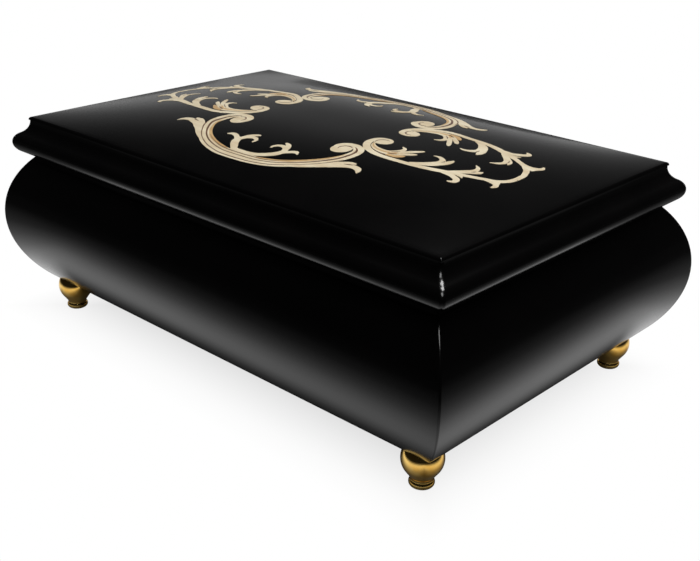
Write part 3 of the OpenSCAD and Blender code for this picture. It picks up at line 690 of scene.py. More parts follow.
def mitred(section: Section, side: Side, size: Measures, corner: float, steps: int = 5) -> Shape:
    """Sweep a section along one side, from mitre to mitre, with a small rounding at the mitres.

    Args:
        section: Closed section as inset from the outer size and height.
        side: Which side of the box.
        size: The shared sizes.
        corner: Rounding of the mitred ridge, seen from above.
        steps: Stretches in each half of a rounded ridge.

    Returns:
        Points and faces.
    """
    long_side = side in (Side.FRONT, Side.BACK)
    run, reach = (size.half_l, size.half_w) if long_side else (size.half_w, size.half_l)
    points: list[Point] = []
    for inset, z in section:
        a = run - inset - corner
        b = reach - inset - corner
        row = [(-a + s, b - t) for s, t in arc((0, 0), corner, 225, 270, steps)]
        row += [(a + s, b - t) for s, t in arc((0, 0), corner, 270, 315, steps)]
        points += [(*side.place(s, t), z) for s, t in row]
    n = 2 * (steps + 1)
    m = len(section)
    faces = [
        (i * n + k, i * n + k + 1, (i + 1) % m * n + k + 1, (i + 1) % m * n + k)
        for i in range(m)
        for k in range(n - 1)
    ]
    faces.append([i * n for i in range(m)])
    faces.append([i * n + n - 1 for i in reversed(range(m))])
    return points, faces


def build_sides(
    size: Measures, body: str, prefix: str, section: Section, ridge: float, cuts: Sequence[Shape]
) -> None:
    """Build the four mitred mouldings of the case or the lid.

    Args:
        size: The shared sizes.
        body: The body that they move with, which also starts their names.
        prefix: How the names of their nodes start.
        section: Their section.
        ridge: Rounding of the mitred ridges.
        cuts: What is cut out of the back one for the hinges.
    """
    for side in Side:
        name = side.name.lower()
        shape = mitred(section, side, size, ridge)
        node = f"{prefix}{name}_moulding"
        piece = make_piece(f"{body}_{name}", shape, [LACQUER], body, node, sharp=50)
        if side is Side.BACK:
            cut(piece, cuts)
            soften(piece.data, 40)


def loft(rings: Sequence[Sequence[Point]]) -> Shape:
    """Join rings of equal count, and close the first and the last.

    Args:
        rings: The rings in order.

    Returns:
        Points and faces.
    """
    n = len(rings[0])
    points = [p for r in rings for p in r]
    faces = [
        (i * n + k, i * n + (k + 1) % n, (i + 1) * n + (k + 1) % n, (i + 1) * n + k)
        for i in range(len(rings) - 1)
        for k in range(n)
    ]
    last = (len(rings) - 1) * n
    faces.append(list(reversed(range(n))))
    faces.append([last + k for k in range(n)])
    return points, faces


def lathe(profile: Section, count: int) -> Shape:
    """Turn a profile about the upright axis.

    Args:
        profile: Radius and height, from the bottom to the top.
        count: Stretches round the axis.

    Returns:
        Points and faces.
    """
    turns = [2 * math.pi * k / count for k in range(count)]
    return loft([[(r * math.cos(t), r * math.sin(t), z) for t in turns] for r, z in profile])


def block(low: Point, high: Point) -> Shape:
    """A plain box to cut with.

    Args:
        low: Lowest corner.
        high: Highest corner.

    Returns:
        Points and faces.
    """
    (x0, y0, z0), (x1, y1, z1) = low, high
    points = [(x, y, z) for z in (z0, z1) for x, y in ((x0, y0), (x1, y0), (x1, y1), (x0, y1))]
    return points, [(3, 2, 1, 0), (4, 5, 6, 7), (0, 1, 5, 4), (1, 2, 6, 5), (2, 3, 7, 6), (3, 0, 4, 7)]


def cut(piece: bpy.types.Object, cutters: Sequence[Shape]) -> None:
    """Cut closed shapes out of a piece.

    Args:
        piece: The piece, which keeps its materials.
        cutters: What is cut away.
    """
    for shape in cutters:
        tool = link("cutter", raw_mesh("cutter", shape))
        step = piece.modifiers.new("cut", "BOOLEAN")
        step.operation = "DIFFERENCE"
        step.solver = "EXACT"
        step.object = tool
        bpy.context.view_layer.update()
        graph = bpy.context.evaluated_depsgraph_get()
        done = bpy.data.meshes.new_from_object(piece.evaluated_get(graph))
        piece.modifiers.remove(step)
        piece.data = done
        bpy.data.objects.remove(tool)


@dataclass(frozen=True)
class Room:
    """The box that a node fills, in millimetres."""

    low: Vector
    high: Vector

    @classmethod
    def of(cls, node: str) -> "Room":
        """Read the box of a node."""
        low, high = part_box(node)
        return cls(low / MM, high / MM)

    def ring(self, in_x: float, in_y: float, radius: float, z: float, steps: int = 6) -> list[Point]:
        """Corner-rounded rectangle in the box, at a height.

        Args:
            in_x: Its inset along x.
            in_y: Its inset along y.
            radius: Rounding of its corners.
            z: Its height.
            steps: Stretches in each corner.

        Returns:
            Its points, anticlockwise from above.
        """
        reach_x = (self.high.x - self.low.x) / 2 - in_x - radius
        reach_y = (self.high.y - self.low.y) / 2 - in_y - radius
        x, y = (self.low.x + self.high.x) / 2, (self.low.y + self.high.y) / 2
        out: list[Point] = []
        for k, (sx, sy) in enumerate(((1, 1), (-1, 1), (-1, -1), (1, -1))):
            bend = arc((x + sx * reach_x, y + sy * reach_y), radius, 90 * k, 90 * k + 90, steps)
            out += [(*p, z) for p in bend]
        return out


@dataclass
class Hinges:
    """Two butt hinges let into the back of rim and lid."""

    size: Measures
    half_x: float = 55.0
    length: float = 24.0
    leaf_t: float = 0.8
    knuckle_r: float = 1.5
    room: float = 0.05
    knuckle_room: float = 0.35
    knuckle_steps: int = 24
    past: float = 1.0
    past_back: float = 26.0

    @property
    def half(self) -> float:
        """Half the length of a mortise."""
        return self.length / 2 + self.room

    def rim_cuts(self) -> list[Shape]:
        """Draw the mortises for the leaves in the rim of the case.

        Returns:
            One shape to cut out for each hinge.
        """
        front = Room.of("hinge_case_leaves").low.y - self.room
        back = self.size.half_w + self.past_back
        z = self.size.z_rim
        return [
            block((x - self.half, front, z - self.leaf_t), (x + self.half, back, z + self.past))
            for x in (-self.half_x, self.half_x)
        ]

    def lid_cuts(self) -> list[Shape]:
        """Draw the mortises and knuckle grooves in the underside of the lid.

        Returns:
            Two shapes to cut out for each hinge.
        """
        room = Room.of("hinge_lid_leaves")
        front = room.low.y - self.room
        axis_y = room.high.y - self.knuckle_r
        z = self.size.z_lid
        axis_z = z - self.size.lid_gap / 2
        radius = self.knuckle_r + self.knuckle_room
        n = self.knuckle_steps
        groove = arc((axis_y, axis_z), radius, 0, 360 * (n - 1) / n, n - 1)
        cuts = []
        for x in (-self.half_x, self.half_x):
            ends = (x - self.half, x + self.half)
            cuts.append(block((ends[0], front, z - self.past), (ends[1], axis_y, z + self.leaf_t)))
            cuts.append(loft([[(end, y, h) for y, h in groove] for end in ends]))
        return cuts

    def dress(self) -> None:
        """Finish the hinge nodes in brass."""
        dress(BRASS, "hinge_case_leaves", "hinge_lid_leaves", "hinge_pins")
        dress(BRASS, "hinge_case_screws", "hinge_lid_screws")


@dataclass
class Case:
    """The swelling case: four mitred mouldings and the board under them."""

    size: Measures
    hinges: Hinges
    belly_r: float = 32.0
    belly_out: float = 3.8
    belly_steps: int = 44
    wall_top: float = 6.5
    rabbet: float = 3.0
    edge_r: float = 0.5
    ridge_r: float = 0.6

    def section(self) -> Section:
        """Draw the section of a moulding.

        Returns:
            Insets from the lid's nose, and heights.
        """
        s = self.size
        half = s.case_h / 2
        swing = math.degrees(math.asin(half / self.belly_r))
        centre = (self.belly_r - self.belly_out, s.z_case + half)
        face = arc(centre, self.belly_r, 180 + swing, 180 - swing, self.belly_steps)
        inner = face[-1][0] + self.wall_top
        step = inner - self.rabbet
        floor = s.z_case + s.bottom_t
        corners = face + [(inner, s.z_rim), (inner, floor), (step, floor), (step, s.z_case)]
        return rounded(corners, self.edge_r, (0, len(face) - 1, len(face)))

    def build(self) -> None:
        """Build the four mouldings and finish the boards."""
        build_sides(self.size, "case", "", self.section(), self.ridge_r, self.hinges.rim_cuts())
        dress(BOARD, "bottom_panel", "partition", "window_ledges")


@dataclass
class Feet:
    """Four turned ball feet: bead, neck, cone up to the ball, ball."""

    size: Measures
    inset_l: float = 13.8
    inset_w: float = 12.8
    ball_r: float = 6.4
    ball_drop: float = 3.8
    neck_r: float = 3.4
    neck_up: float = 0.2
    flare: Levels = ((0.0, -0.3), (0.03, 0.0), (0.25, 0.5))
    base_r: float = 3.85
    bead: float = 1.3
    core: float = 0.4
    chamfer: float = 0.15
    facets: int = 72
    bead_steps: int = 16
    ball_steps: int = 26

    def profile(self) -> Section:
        """Draw the turning, from the table up.

        Returns:
            Radii and heights.
        """
        top = self.size.z_case
        ball_z = top - self.ball_drop
        bead_x = self.base_r - self.bead
        neck_z = 2 * self.bead + self.neck_up
        rise = ball_z - neck_z
        reach = math.hypot(self.neck_r, rise)
        lean = math.degrees(math.atan2(self.neck_r, rise) + math.acos(self.ball_r / reach))
        crest = math.degrees(math.acos((self.neck_r - bead_x) / self.bead))
        base = [(self.core, 0.0)] + arc((bead_x, self.bead), self.bead, -90, crest, self.bead_steps)
        neck = [(self.neck_r + out, neck_z + up) for out, up in self.flare]
        rim = math.degrees(math.asin(self.ball_drop / self.ball_r))
        ball = arc((0, ball_z), self.ball_r, lean - 90, rim, self.ball_steps)
        return base + neck + ball + [(r, top) for r in (ball[-1][0] - self.chamfer, self.neck_r, self.core)]

    def build(self) -> None:
        """Build one foot under each corner."""
        shape = lathe(self.profile(), self.facets)
        x = self.size.half_l - self.inset_l
        y = self.size.half_w - self.inset_w
        for row, sy in (("front", -1), ("back", 1)):
            for end, sx in (("left", -1), ("right", 1)):
                names = (f"ball_{row}_{end}", f"foot_{row}_{end}")
                at = (sx * x, sy * y, 0.0)
                make_piece(names[0], shape, [GOLD], "case", names[1], sharp=48, at=at)


@dataclass
class Lid:
    """The lid: an ogee frame, a domed panel, its velvet board and the mirror.

    The velvet's swell and the mirror's bevel are drawn as insets and rises over the lower face.
    """

    size: Measures
    hinges: Hinges
    nose_r: float = 3.8
    nose_steps: int = 30
    cove_steps: int = 22
    frame_w: float = 22.0
    ridge_r: float = 1.3
    edge_r: float = 0.9
    edge_steps: int = 7
    mesh_pitch: float = 1.7
    board_r: float = 0.6
    swell: Levels = (
        (0.0, 0.7), (0.25, 0.25), (0.8, 0.02), (2.2, -0.22), (4.0, -0.2), (6.0, -0.05), (7.2, 0.04),
        (12.0, 0.04),
    )
    mirror_r: float = 0.8
    bevel: Levels = ((0.0, 0.9), (0.08, 0.8), (5.0, 0.03), (5.2, 0.0))

    def section(self) -> Section:
        """Draw the section of the frame.

        Returns:
            Insets from the nose, and heights.
        """
        s = self.size
        k = s.setback - self.nose_r
        h = s.lid_h - self.nose_r
        cove_r = (k * k + h * h - self.nose_r**2) / (2 * s.setback)
        cove = (s.setback - cove_r, s.lid_h)
        turn = math.degrees(math.atan2(cove[1] - self.nose_r, cove[0] - self.nose_r))
        nose = arc((self.nose_r, self.nose_r), self.nose_r, 270, turn, self.nose_steps)
        hollow = arc(cove, cove_r, turn + 180, 360, self.cove_steps)[1:]
        flat = [(self.frame_w, s.lid_h), (self.frame_w, 0.0)]
        return [(x, s.z_lid + z) for x, z in nose + hollow + flat]

    def lines(self, half: float) -> list[float]:
        """Places of the panel's grid lines, close together at its rounded edge.

        Args:
            half: Half the panel's size.

        Returns:
            The places from one edge to the other.
        """
        turns = [math.pi / 2 * k / self.edge_steps for k in range(self.edge_steps + 1)]
        edge = [half - self.edge_r * (1 - math.cos(t)) for t in turns]
        count = round(edge[-1] / self.mesh_pitch)
        right = edge + [edge[-1] * (count - k) / count for k in range(1, count)]
        return [-x for x in right] + [0.0] + right[::-1]

    def build_panel(self) -> None:
        """Build the domed panel with its softened edge."""
        s = self.size
        xs = self.lines(s.top_x)
        ys = self.lines(s.top_y)
        points: list[Point] = []
        for y in ys:
            for x in xs:
                e = min(self.edge_r, s.top_x - abs(x), s.top_y - abs(y))
                drop = self.edge_r - math.sqrt(max(0.0, self.edge_r**2 - (self.edge_r - e) ** 2))
                points.append((x, y, s.dome(x, y) - drop))
        nx, ny = len(xs), len(ys)
        faces = [
            (j * nx + i, j * nx + i + 1, (j + 1) * nx + i + 1, (j + 1) * nx + i)
            for j in range(ny - 1)
            for i in range(nx - 1)
        ]
        rim = list(range(nx)) + [j * nx + nx - 1 for j in range(1, ny)]
        rim += [(ny - 1) * nx + i for i in range(nx - 2, -1, -1)] + [j * nx for j in range(ny - 2, 0, -1)]
        first = len(points)
        points += [(points[k][0], points[k][1], s.z_panel) for k in rim]
        n = len(rim)
        faces += [(rim[k], first + k, first + (k + 1) % n, rim[(k + 1) % n]) for k in range(n)]
        faces.append([first + k for k in range(n)])
        make_piece("lid_cushion", (points, faces), [LACQUER], "lid", "lid_panel", sharp=40)

    @staticmethod
    def plate(node: str, radius: float, below: Levels) -> Shape:
        """Draw a plate whose lower face is shaped.

        Args:
            node: The node whose box it fills.
            radius: Rounding of its corners, seen from below.
            below: Insets and rises over the lower face.

        Returns:
            Points and faces.
        """
        room = Room.of(node)
        top = room.ring(0.0, 0.0, radius, room.high.z)
        return loft([top] + [room.ring(d, d, radius, room.low.z + up) for d, up in below])

    def build(self) -> None:
        """Build the frame, the panel, the velvet board round the mirror and the bevelled mirror."""
        build_sides(self.size, "lid", "lid_", self.section(), self.ridge_r, self.hinges.lid_cuts())
        self.build_panel()
        board = self.plate("lid_board", self.board_r, self.swell)
        pad = make_piece("lid_velvet", board, [RED_VELVET], "lid", "lid_board", sharp=60)
        glass = self.plate("lid_mirror", self.mirror_r, self.bevel)
        make_piece("lid_looking_glass", glass, [MIRROR], "lid", "lid_mirror", sharp=3)


@dataclass
class Relief:
    """Points, faces and tones of a mesh that is being drawn."""

    points: list[Point] = field(default_factory=list)
    faces: list[tuple[int, ...]] = field(default_factory=list)
    tones: list[int] = field(default_factory=list)

    def add(self, row: Sequence[Point]) -> list[int]:
        """Add points.

        Args:
            row: The points.

        Returns:
            Their numbers.
        """
        first = len(self.points)
        self.points += row
        return list(range(first, len(self.points)))

    def face(self, corners: Sequence[int], tone: Tone = Tone.CREAM) -> None:
        """Add a face in a tone."""
        self.faces.append(tuple(corners))
        self.tones.append(tone.value)

    def join(self, points: Sequence[Point], faces: Sequence[Sequence[int]]) -> None:
        """Add a whole mesh in the first tone.

        Args:
            points: Its points.
            faces: Its faces, numbered from its own first point.
        """
        numbers = self.add(points)
        for corners in faces:
            self.face([numbers[k] for k in corners])


Bands = Sequence[tuple[float, float, Tone]]
PLAIN: Bands = ((-1, 1, Tone.CREAM),)
GOLDEN: Bands = ((-1, 1, Tone.TAN),)
VEIN: Bands = ((-1, 1, Tone.LINE),)
LEAF: Bands = (
    (-1, -0.84, Tone.LINE), (-0.84, -0.3, Tone.CREAM), (-0.3, 0.35, Tone.TAN), (0.35, 1, Tone.CREAM),
)


@dataclass(frozen=True)
class Strand:
    """One tapering strip of the inlay, drawn in a quarter of the lid.

    It has bands of veneer across it, a lift over the strands under it, and a line of points, each
    with its x, y and half width.
    """

    bands: Bands
    lift: float
    line: Sequence[Point]


@dataclass(frozen=True)
class Quarter:
    """One quarter of the cartouche: how it is mirrored, and how far hand cutting shifted its leaves.

    Each pin has its place in the drawing and its shift along x and y.
    """

    sx: int
    sy: int
    pins: Sequence[tuple[float, float, float, float]] = ()
    blunt: float = 1.0
    fall: float = -1.5

    def place(self, x: float, y: float) -> Pair:
        """Take a point of the drawing to its place on the lid.

        Args:
            x: Place along the length in the drawing.
            y: Place across the width in the drawing.

        Returns:
            The place on the lid.
        """
        total = move_x = move_y = 0.0
        for px, py, dx, dy in self.pins:
            weight = ((x - px) ** 2 + (y - py) ** 2 + self.blunt) ** self.fall
            total += weight
            move_x += weight * dx
            move_y += weight * dy
        if total:
            x += move_x / total
            y += move_y / total
        return self.sx * x, -self.sy * y


def eye(x: float, y: float, rx: float, ry: float, lift: float) -> Strand:
    """Draw the full eye of a scroll.

    Args:
        x: Its middle along the length.
        y: Its middle across the width.
        rx: Half its length.
        ry: Half its width.
        lift: How far it lies over the strands under it.

    Returns:
        The eye as a strand.
    """
    turns = [math.pi * k / 12 for k in range(13)]
    return Strand(PLAIN, lift, [(x - rx * math.cos(t), y, max(0.02, ry * math.sin(t))) for t in turns])


FRONT_SCROLL: Sequence[Strand] = (
    Strand(PLAIN, 0.0, (
        (0, -44.1, 2.45), (6, -44, 2.4), (11, -43.45, 2.32), (16, -42, 2.3), (20.8, -39.5, 2.25),
        (25, -36, 2.15), (27.9, -32.6, 2.05), (29.6, -29.4, 1.95), (30.6, -26, 1.9), (30.9, -22.8, 1.85),
        (30.3, -19.8, 1.8), (28.7, -17.6, 1.7), (26.4, -16.5, 1.5), (24.2, -16.7, 1.45), (22.6, -18, 1.5),
        (22.2, -19.8, 1.5), (22.8, -21.6, 1.3),
    )),
    eye(24.5, -20.9, 3.4, 3.9, 0.03),
    Strand(GOLDEN, 0.05, (
        (8, -41.9, 0.15), (15, -40.4, 0.5), (20, -37.8, 0.55), (24, -34.4, 0.5), (27, -30.6, 0.4),
        (28.7, -27, 0.25), (29.2, -24.5, 0.1),
    )),
    Strand(VEIN, 0.06, (
        (0, -45.6, 0.17), (8, -45.2, 0.18), (15, -43.7, 0.18), (20.5, -41, 0.18), (25, -37.7, 0.2),
        (28.4, -34.4, 0.22), (30.6, -31.2, 0.2), (31.9, -28, 0.06),
    )),
    Strand(VEIN, 0.07, (
        (0, -42.4, 0.14), (6, -42.3, 0.16), (12, -41.7, 0.16), (17, -39.8, 0.12), (21, -37.4, 0.05),
    )),
    Strand(VEIN, 0.06, (
        (0, -43.7, 0.14), (8, -43.5, 0.18), (15, -42, 0.2), (20.4, -39.2, 0.24), (25.2, -35.2, 0.32),
        (28.3, -31.3, 0.4), (30, -28, 0.45), (30.6, -24.5, 0.45), (30.4, -21.2, 0.4), (29.1, -18.9, 0.3),
        (27.2, -17.5, 0.12),
    )),
    Strand(VEIN, 0.08, (
        (27, -18.7, 0.08), (25.4, -18.1, 0.26), (23.8, -18.9, 0.28), (23.2, -20.5, 0.22), (23.6, -21.8, 0.06),
    )),
    Strand(PLAIN, 0.04, (
        (0, -41.1, 0.85), (3, -41.1, 0.88), (6.6, -40.4, 0.98), (9.6, -38.6, 1.2), (11.6, -36.4, 1.3),
        (12.1, -34.2, 1.1), (11, -32.2, 0.95), (9, -31.2, 0.85), (7.1, -31.5, 0.78), (6.1, -32.8, 0.6),
        (6.3, -34.1, 0.35),
    )),
    Strand(PLAIN, 0.06, ((11.8, -33.4, 0.8), (11, -31.1, 0.85), (9.4, -29.4, 0.8), (7.6, -28.6, 0.4))),
    Strand(PLAIN, 0.05, (
        (12, -36.2, 0.6), (13.2, -34.3, 0.8), (14.8, -32.9, 0.85), (16.2, -32.5, 0.85), (17.6, -33.6, 0.15),
    )),
    Strand(PLAIN, 0.04, (
        (20, -41.4, 0.9), (25, -38.4, 1.3), (29, -35.2, 1.7), (32.4, -32.6, 1.85), (35.2, -31, 1.5),
        (37.6, -30.2, 1.25), (39.8, -30.4, 1.15), (41.2, -31.5, 0.85), (41.9, -33.1, 0.15),
    )),
    Strand(PLAIN, 0.05, ((31.4, -32, 1), (33.8, -29.9, 1.1), (35.6, -28.6, 0.95), (37.4, -28, 0.35))),
    Strand(VEIN, 0.09, ((34.4, -30.4, 0.06), (35.8, -29.8, 0.3), (37.2, -29.3, 0.06))),
)
SIDE_SCROLL: Sequence[Strand] = (
    Strand(PLAIN, 0.02, (
        (75.8, 0, 0.85), (75.3, -3.2, 0.88), (73.4, -6.2, 0.95), (70.2, -8, 0.95), (66.4, -9.9, 0.95),
        (62, -11.9, 1.1), (57.6, -13.8, 1.2), (53.2, -15.4, 1.1), (48.6, -16.5, 1.05), (44, -17.1, 1.05),
        (39.8, -17.45, 1.05), (35.8, -17.25, 1.1), (32.6, -16.4, 1.15), (29.8, -14.9, 1.2),
        (27.6, -12.8, 1.2), (26.2, -10.3, 1.2), (25.9, -7.8, 1.2), (26.6, -5.8, 1.3), (28, -4.8, 1.4),
        (29.6, -5, 1.4),
    )),
    eye(29.1, -6.4, 3.25, 3.15, 0.04),
    Strand(VEIN, 0.09, (
        (30.6, -5, 0.06), (29, -5, 0.22), (27.7, -5.9, 0.26), (27.2, -7.5, 0.22), (27.7, -8.9, 0.06),
    )),
    Strand(LEAF, 0.05, (
        (28, -9.6, 0.35), (29.3, -11.6, 0.8), (31.6, -13.2, 1.15), (34.4, -14, 1.5), (37.2, -13.9, 1.9),
        (39.6, -12.8, 2), (41, -11, 1.4),
    )),
    Strand(PLAIN, 0.07, (
        (37.4, -13.1, 1.1), (38.9, -11, 1.1), (39.3, -9, 0.85), (38.7, -7.3, 0.62), (37.2, -6.4, 0.2),
    )),
    Strand(PLAIN, 0.08, (
        (39.6, -11.7, 0.9), (41.4, -8.9, 0.85), (42.9, -6.7, 0.8), (44, -5.1, 0.6), (44.4, -4.3, 0.15),
    )),
    Strand(PLAIN, 0.07, ((40.3, -13, 0.9), (42.4, -11, 0.9), (44, -9.4, 0.8), (44.8, -8.5, 0.2))),
    Strand(GOLDEN, 0.06, ((38, -15.1, 0.8), (41, -14.7, 0.95), (42.6, -13.3, 0.8), (43.3, -12.5, 0.2))),
    Strand(VEIN, 0.12, ((37.7, -12.6, 0.06), (38.8, -11.6, 0.24), (39.4, -10.3, 0.06))),
    Strand(VEIN, 0.12, ((37.8, -14.4, 0.06), (39.2, -13.8, 0.32), (40.9, -12.8, 0.06))),
    Strand(PLAIN, 0.05, (
        (47.5, -15.7, 0.5), (50.2, -14, 1.1), (52.3, -12, 1.5), (53.7, -9.6, 1.6), (53.5, -7.2, 1.1),
        (52.2, -5.5, 0.85), (50.4, -4.7, 0.65), (48.6, -5.1, 0.2),
    )),
    Strand(PLAIN, 0.07, (
        (53.4, -11, 1), (55, -8.4, 1.05), (55.4, -6.2, 1), (55.5, -4.6, 0.65), (55.4, -3.8, 0.15),
    )),
    Strand(VEIN, 0.11, ((53.9, -8, 0.06), (54.1, -7.1, 0.22), (53.9, -6.2, 0.06))),
    Strand(PLAIN, 0.05, (
        (59.6, -12.4, 0.5), (61.6, -10.2, 0.95), (63.2, -8.3, 1.25), (64.2, -6.3, 1.05), (64.4, -4.2, 0.8),
        (63.6, -2.4, 0.62), (62, -1.2, 0.2),
    )),
    Strand(PLAIN, 0.07, ((63.4, -8.4, 0.9), (65.2, -6.7, 0.95), (66.3, -5.2, 0.85), (66.7, -4.1, 0.2))),
    Strand(VEIN, 0.11, ((64.5, -7.3, 0.06), (65, -6.4, 0.24), (65.1, -5.5, 0.06))),
    Strand(PLAIN, 0.05, (
        (56.6, -14.1, 0.5), (60, -13.8, 0.95), (62.4, -13.9, 1), (64.6, -14.7, 1.05), (65.8, -16, 0.98),
        (65.6, -17.4, 0.8), (64.2, -18.3, 0.35),
    )),
    Strand(PLAIN, 0.06, ((61.4, -12, 0.6), (64, -12, 0.75), (65.7, -13, 0.15))),
    Strand(PLAIN, 0.05, (
        (69.4, -8.4, 0.5), (72, -7.9, 1), (73.8, -8, 1.05), (75, -8.9, 0.85), (75.4, -10.2, 0.7),
        (75, -11.6, 0.3),
    )),
    Strand(PLAIN, 0.06, ((72.6, -7.2, 0.5), (74.3, -7, 0.6), (75.3, -7.7, 0.15))),
)
QUARTERS: Sequence[Quarter] = (
    Quarter(1, -1),
    Quarter(-1, -1, (
        (0, -44, 0, 0), (9, -35, -3.9, 0), (27, -22, -1.8, 0), (38, -31, 0, 0), (28, -9, 0, 0),
        (40, -17.5, 0.3, -1.3), (41, -7, 4.6, 0), (52, -9, 4.6, -0.5), (64, -8, 6, -0.5),
        (66, -16, 4.8, -1.4), (75, -3, 5.3, 0), (29, -35.5, -0.9, 0.8), (32.4, -32.6, -0.8, 0.5),
    )),
    Quarter(1, 1, (
        (0, -44, 0, 0), (10, -33, -3.5, 3.4), (27, -22, -0.8, 0.6), (38, -31, -2, -1), (28, -9, 0, 0),
        (40, -17.5, 0, -1.5), (41, -8, 1.2, -1.4), (52, -9, 0.4, -2.6), (64, -6, 1.2, -3.6),
        (66, -16, -0.3, -4.8), (75, -10, 0, -4.6), (75.8, 0, 0, 0), (75.3, -3.2, 0, -1.8),
        (73.4, -6.2, -0.6, -3.4), (70.2, -8, -0.6, -4.4), (60, -13.8, 0, -3.4),
    )),
    Quarter(-1, 1, (
        (0, -44, 0, 0), (9, -32, -2.4, 4), (27, -22, 0.8, 1.2), (39, -31, 3, -1), (28, -9, 0.4, 0.5),
        (40, -17.5, 0.5, -0.8), (41, -7, 2.6, -0.6), (52, -9, 5, -1), (64, -6, 6, -3),
        (66, -16, 4.5, -3), (75, -3, 5.3, 0),
    )),
)


@dataclass
class Inlay:
    """Scroll cartouche let into the lid: drawn for one quarter and laid in all four."""

    size: Measures
    proud: float = 0.05
    crown: float = 0.04
    sunk: float = 0.1
    steps: int = 5

    def smooth(self, line: Sequence[Point]) -> list[Vector]:
        """Pass an even curve through the points of a strand.

        Args:
            line: Points as x, y and half width.

        Returns:
            The points of the curve.
        """
        p = [Vector(q) for q in line]
        out: list[Vector] = []
        for i in range(len(p) - 1):
            a, b, c, d = p[max(0, i - 1)], p[i], p[i + 1], p[min(len(p) - 1, i + 2)]
            for k in range(self.steps):
                t = k / self.steps
                bend = (2 * a - 5 * b + 4 * c - d) * t**2 + (3 * b - a - 3 * c + d) * t**3
                out.append(0.5 * (2 * b + (c - a) * t + bend))
        return out + [p[-1]]

    def lay(self, strand: Strand, quarter: Quarter, relief: Relief) -> None:
        """Lay one strand on the dome.

        Args:
            strand: What is laid.
            quarter: Where it is laid.
            relief: The mesh that it is added to.
        """
        curve = self.smooth(strand.line)
        marks = [strand.bands[0][0]] + [b[1] for b in strand.bands]
        if len(strand.bands) == 1:
            # A strip of one band gets three more marks, so that its crown is round.
            marks = sorted([*marks, -0.5, 0.0, 0.5])
        rows: list[list[int]] = []
        for i, q in enumerate(curve):
            along = curve[min(len(curve) - 1, i + 1)] - curve[max(0, i - 1)]
            across = Vector((-along.y, along.x)).normalized()
            row: list[Point] = []
            for u in marks:
                x, y = quarter.place(q.x + across.x * u * q.z, q.y + across.y * u * q.z)
                row.append((x, y, self.size.dome(x, y) + self.proud + strand.lift + self.crown * (1 - u * u)))
            foot = [(x, y, self.size.dome(x, y) - self.sunk) for x, y, _ in (row[0], row[-1])]
            rows.append(relief.add([foot[0], *row, foot[1]]))
        middles = [(a + b) / 2 for a, b in zip(marks, marks[1:])]
        tones = [next(b[2] for b in strand.bands if b[0] < m < b[1]) for m in middles]
        tones = [tones[0], *tones, tones[-1]]
        for a, b in zip(rows, rows[1:]):
            for k, tone in enumerate(tones):
                relief.face((a[k], a[k + 1], b[k + 1], b[k]), tone)
            relief.face((a[-1], a[0], b[0], b[-1]), tones[0])
        relief.face(rows[0][::-1], tones[0])
        relief.face(rows[-1], tones[0])

    def build(self) -> None:
        """Lay the strands in all four quarters as one piece."""
        relief = Relief()
        for quarter in QUARTERS:
            for strand in (*FRONT_SCROLL, *SIDE_SCROLL):
                self.lay(strand, quarter, relief)
        shape = (relief.points, relief.faces)
        veneers = [CREAM, BROWN, TAN]
        make_piece("lid_scrolls", shape, veneers, "lid", "lid_inlay", sharp=60, tones=relief.tones)


@dataclass(frozen=True)
class Stuffing:
    """Swells a covered roll from inside by a cloth simulation, run at a larger scale."""

    pressure: float = 4.0
    slack: float = 0.1
    frames: int = 20
    scale: float = 20.0

    def swell(self, relief: Relief, held: Sequence[int]) -> None:
        """Swell a drawn mesh, whose points then lie where the cloth came to rest.

        Args:
            relief: The mesh, in millimetres.
            held: Numbers of the points that are sewn down.
        """
        mesh = raw_mesh("stuffing", (relief.points, relief.faces), self.scale)
        outwards(mesh)
        pad = link("stuffing", mesh)
        pad.vertex_groups.new(name="sewn").add(list(held), 1.0, "REPLACE")
        cloth = pad.modifiers.new("cloth", "CLOTH").settings
        cloth.use_pressure = True
        cloth.uniform_pressure_force = self.pressure
        cloth.effector_weights.gravity = 0.0
        cloth.shrink_min = -self.slack
        cloth.vertex_group_mass = "sewn"
        scene = bpy.context.scene
        for k in range(1, self.frames + 1):
            scene.frame_set(k)
        done = pad.evaluated_get(bpy.context.evaluated_depsgraph_get()).data
        relief.points = [tuple(v.co / (MM * self.scale)) for v in done.vertices]
        bpy.data.objects.remove(pad)
        scene.frame_set(1)


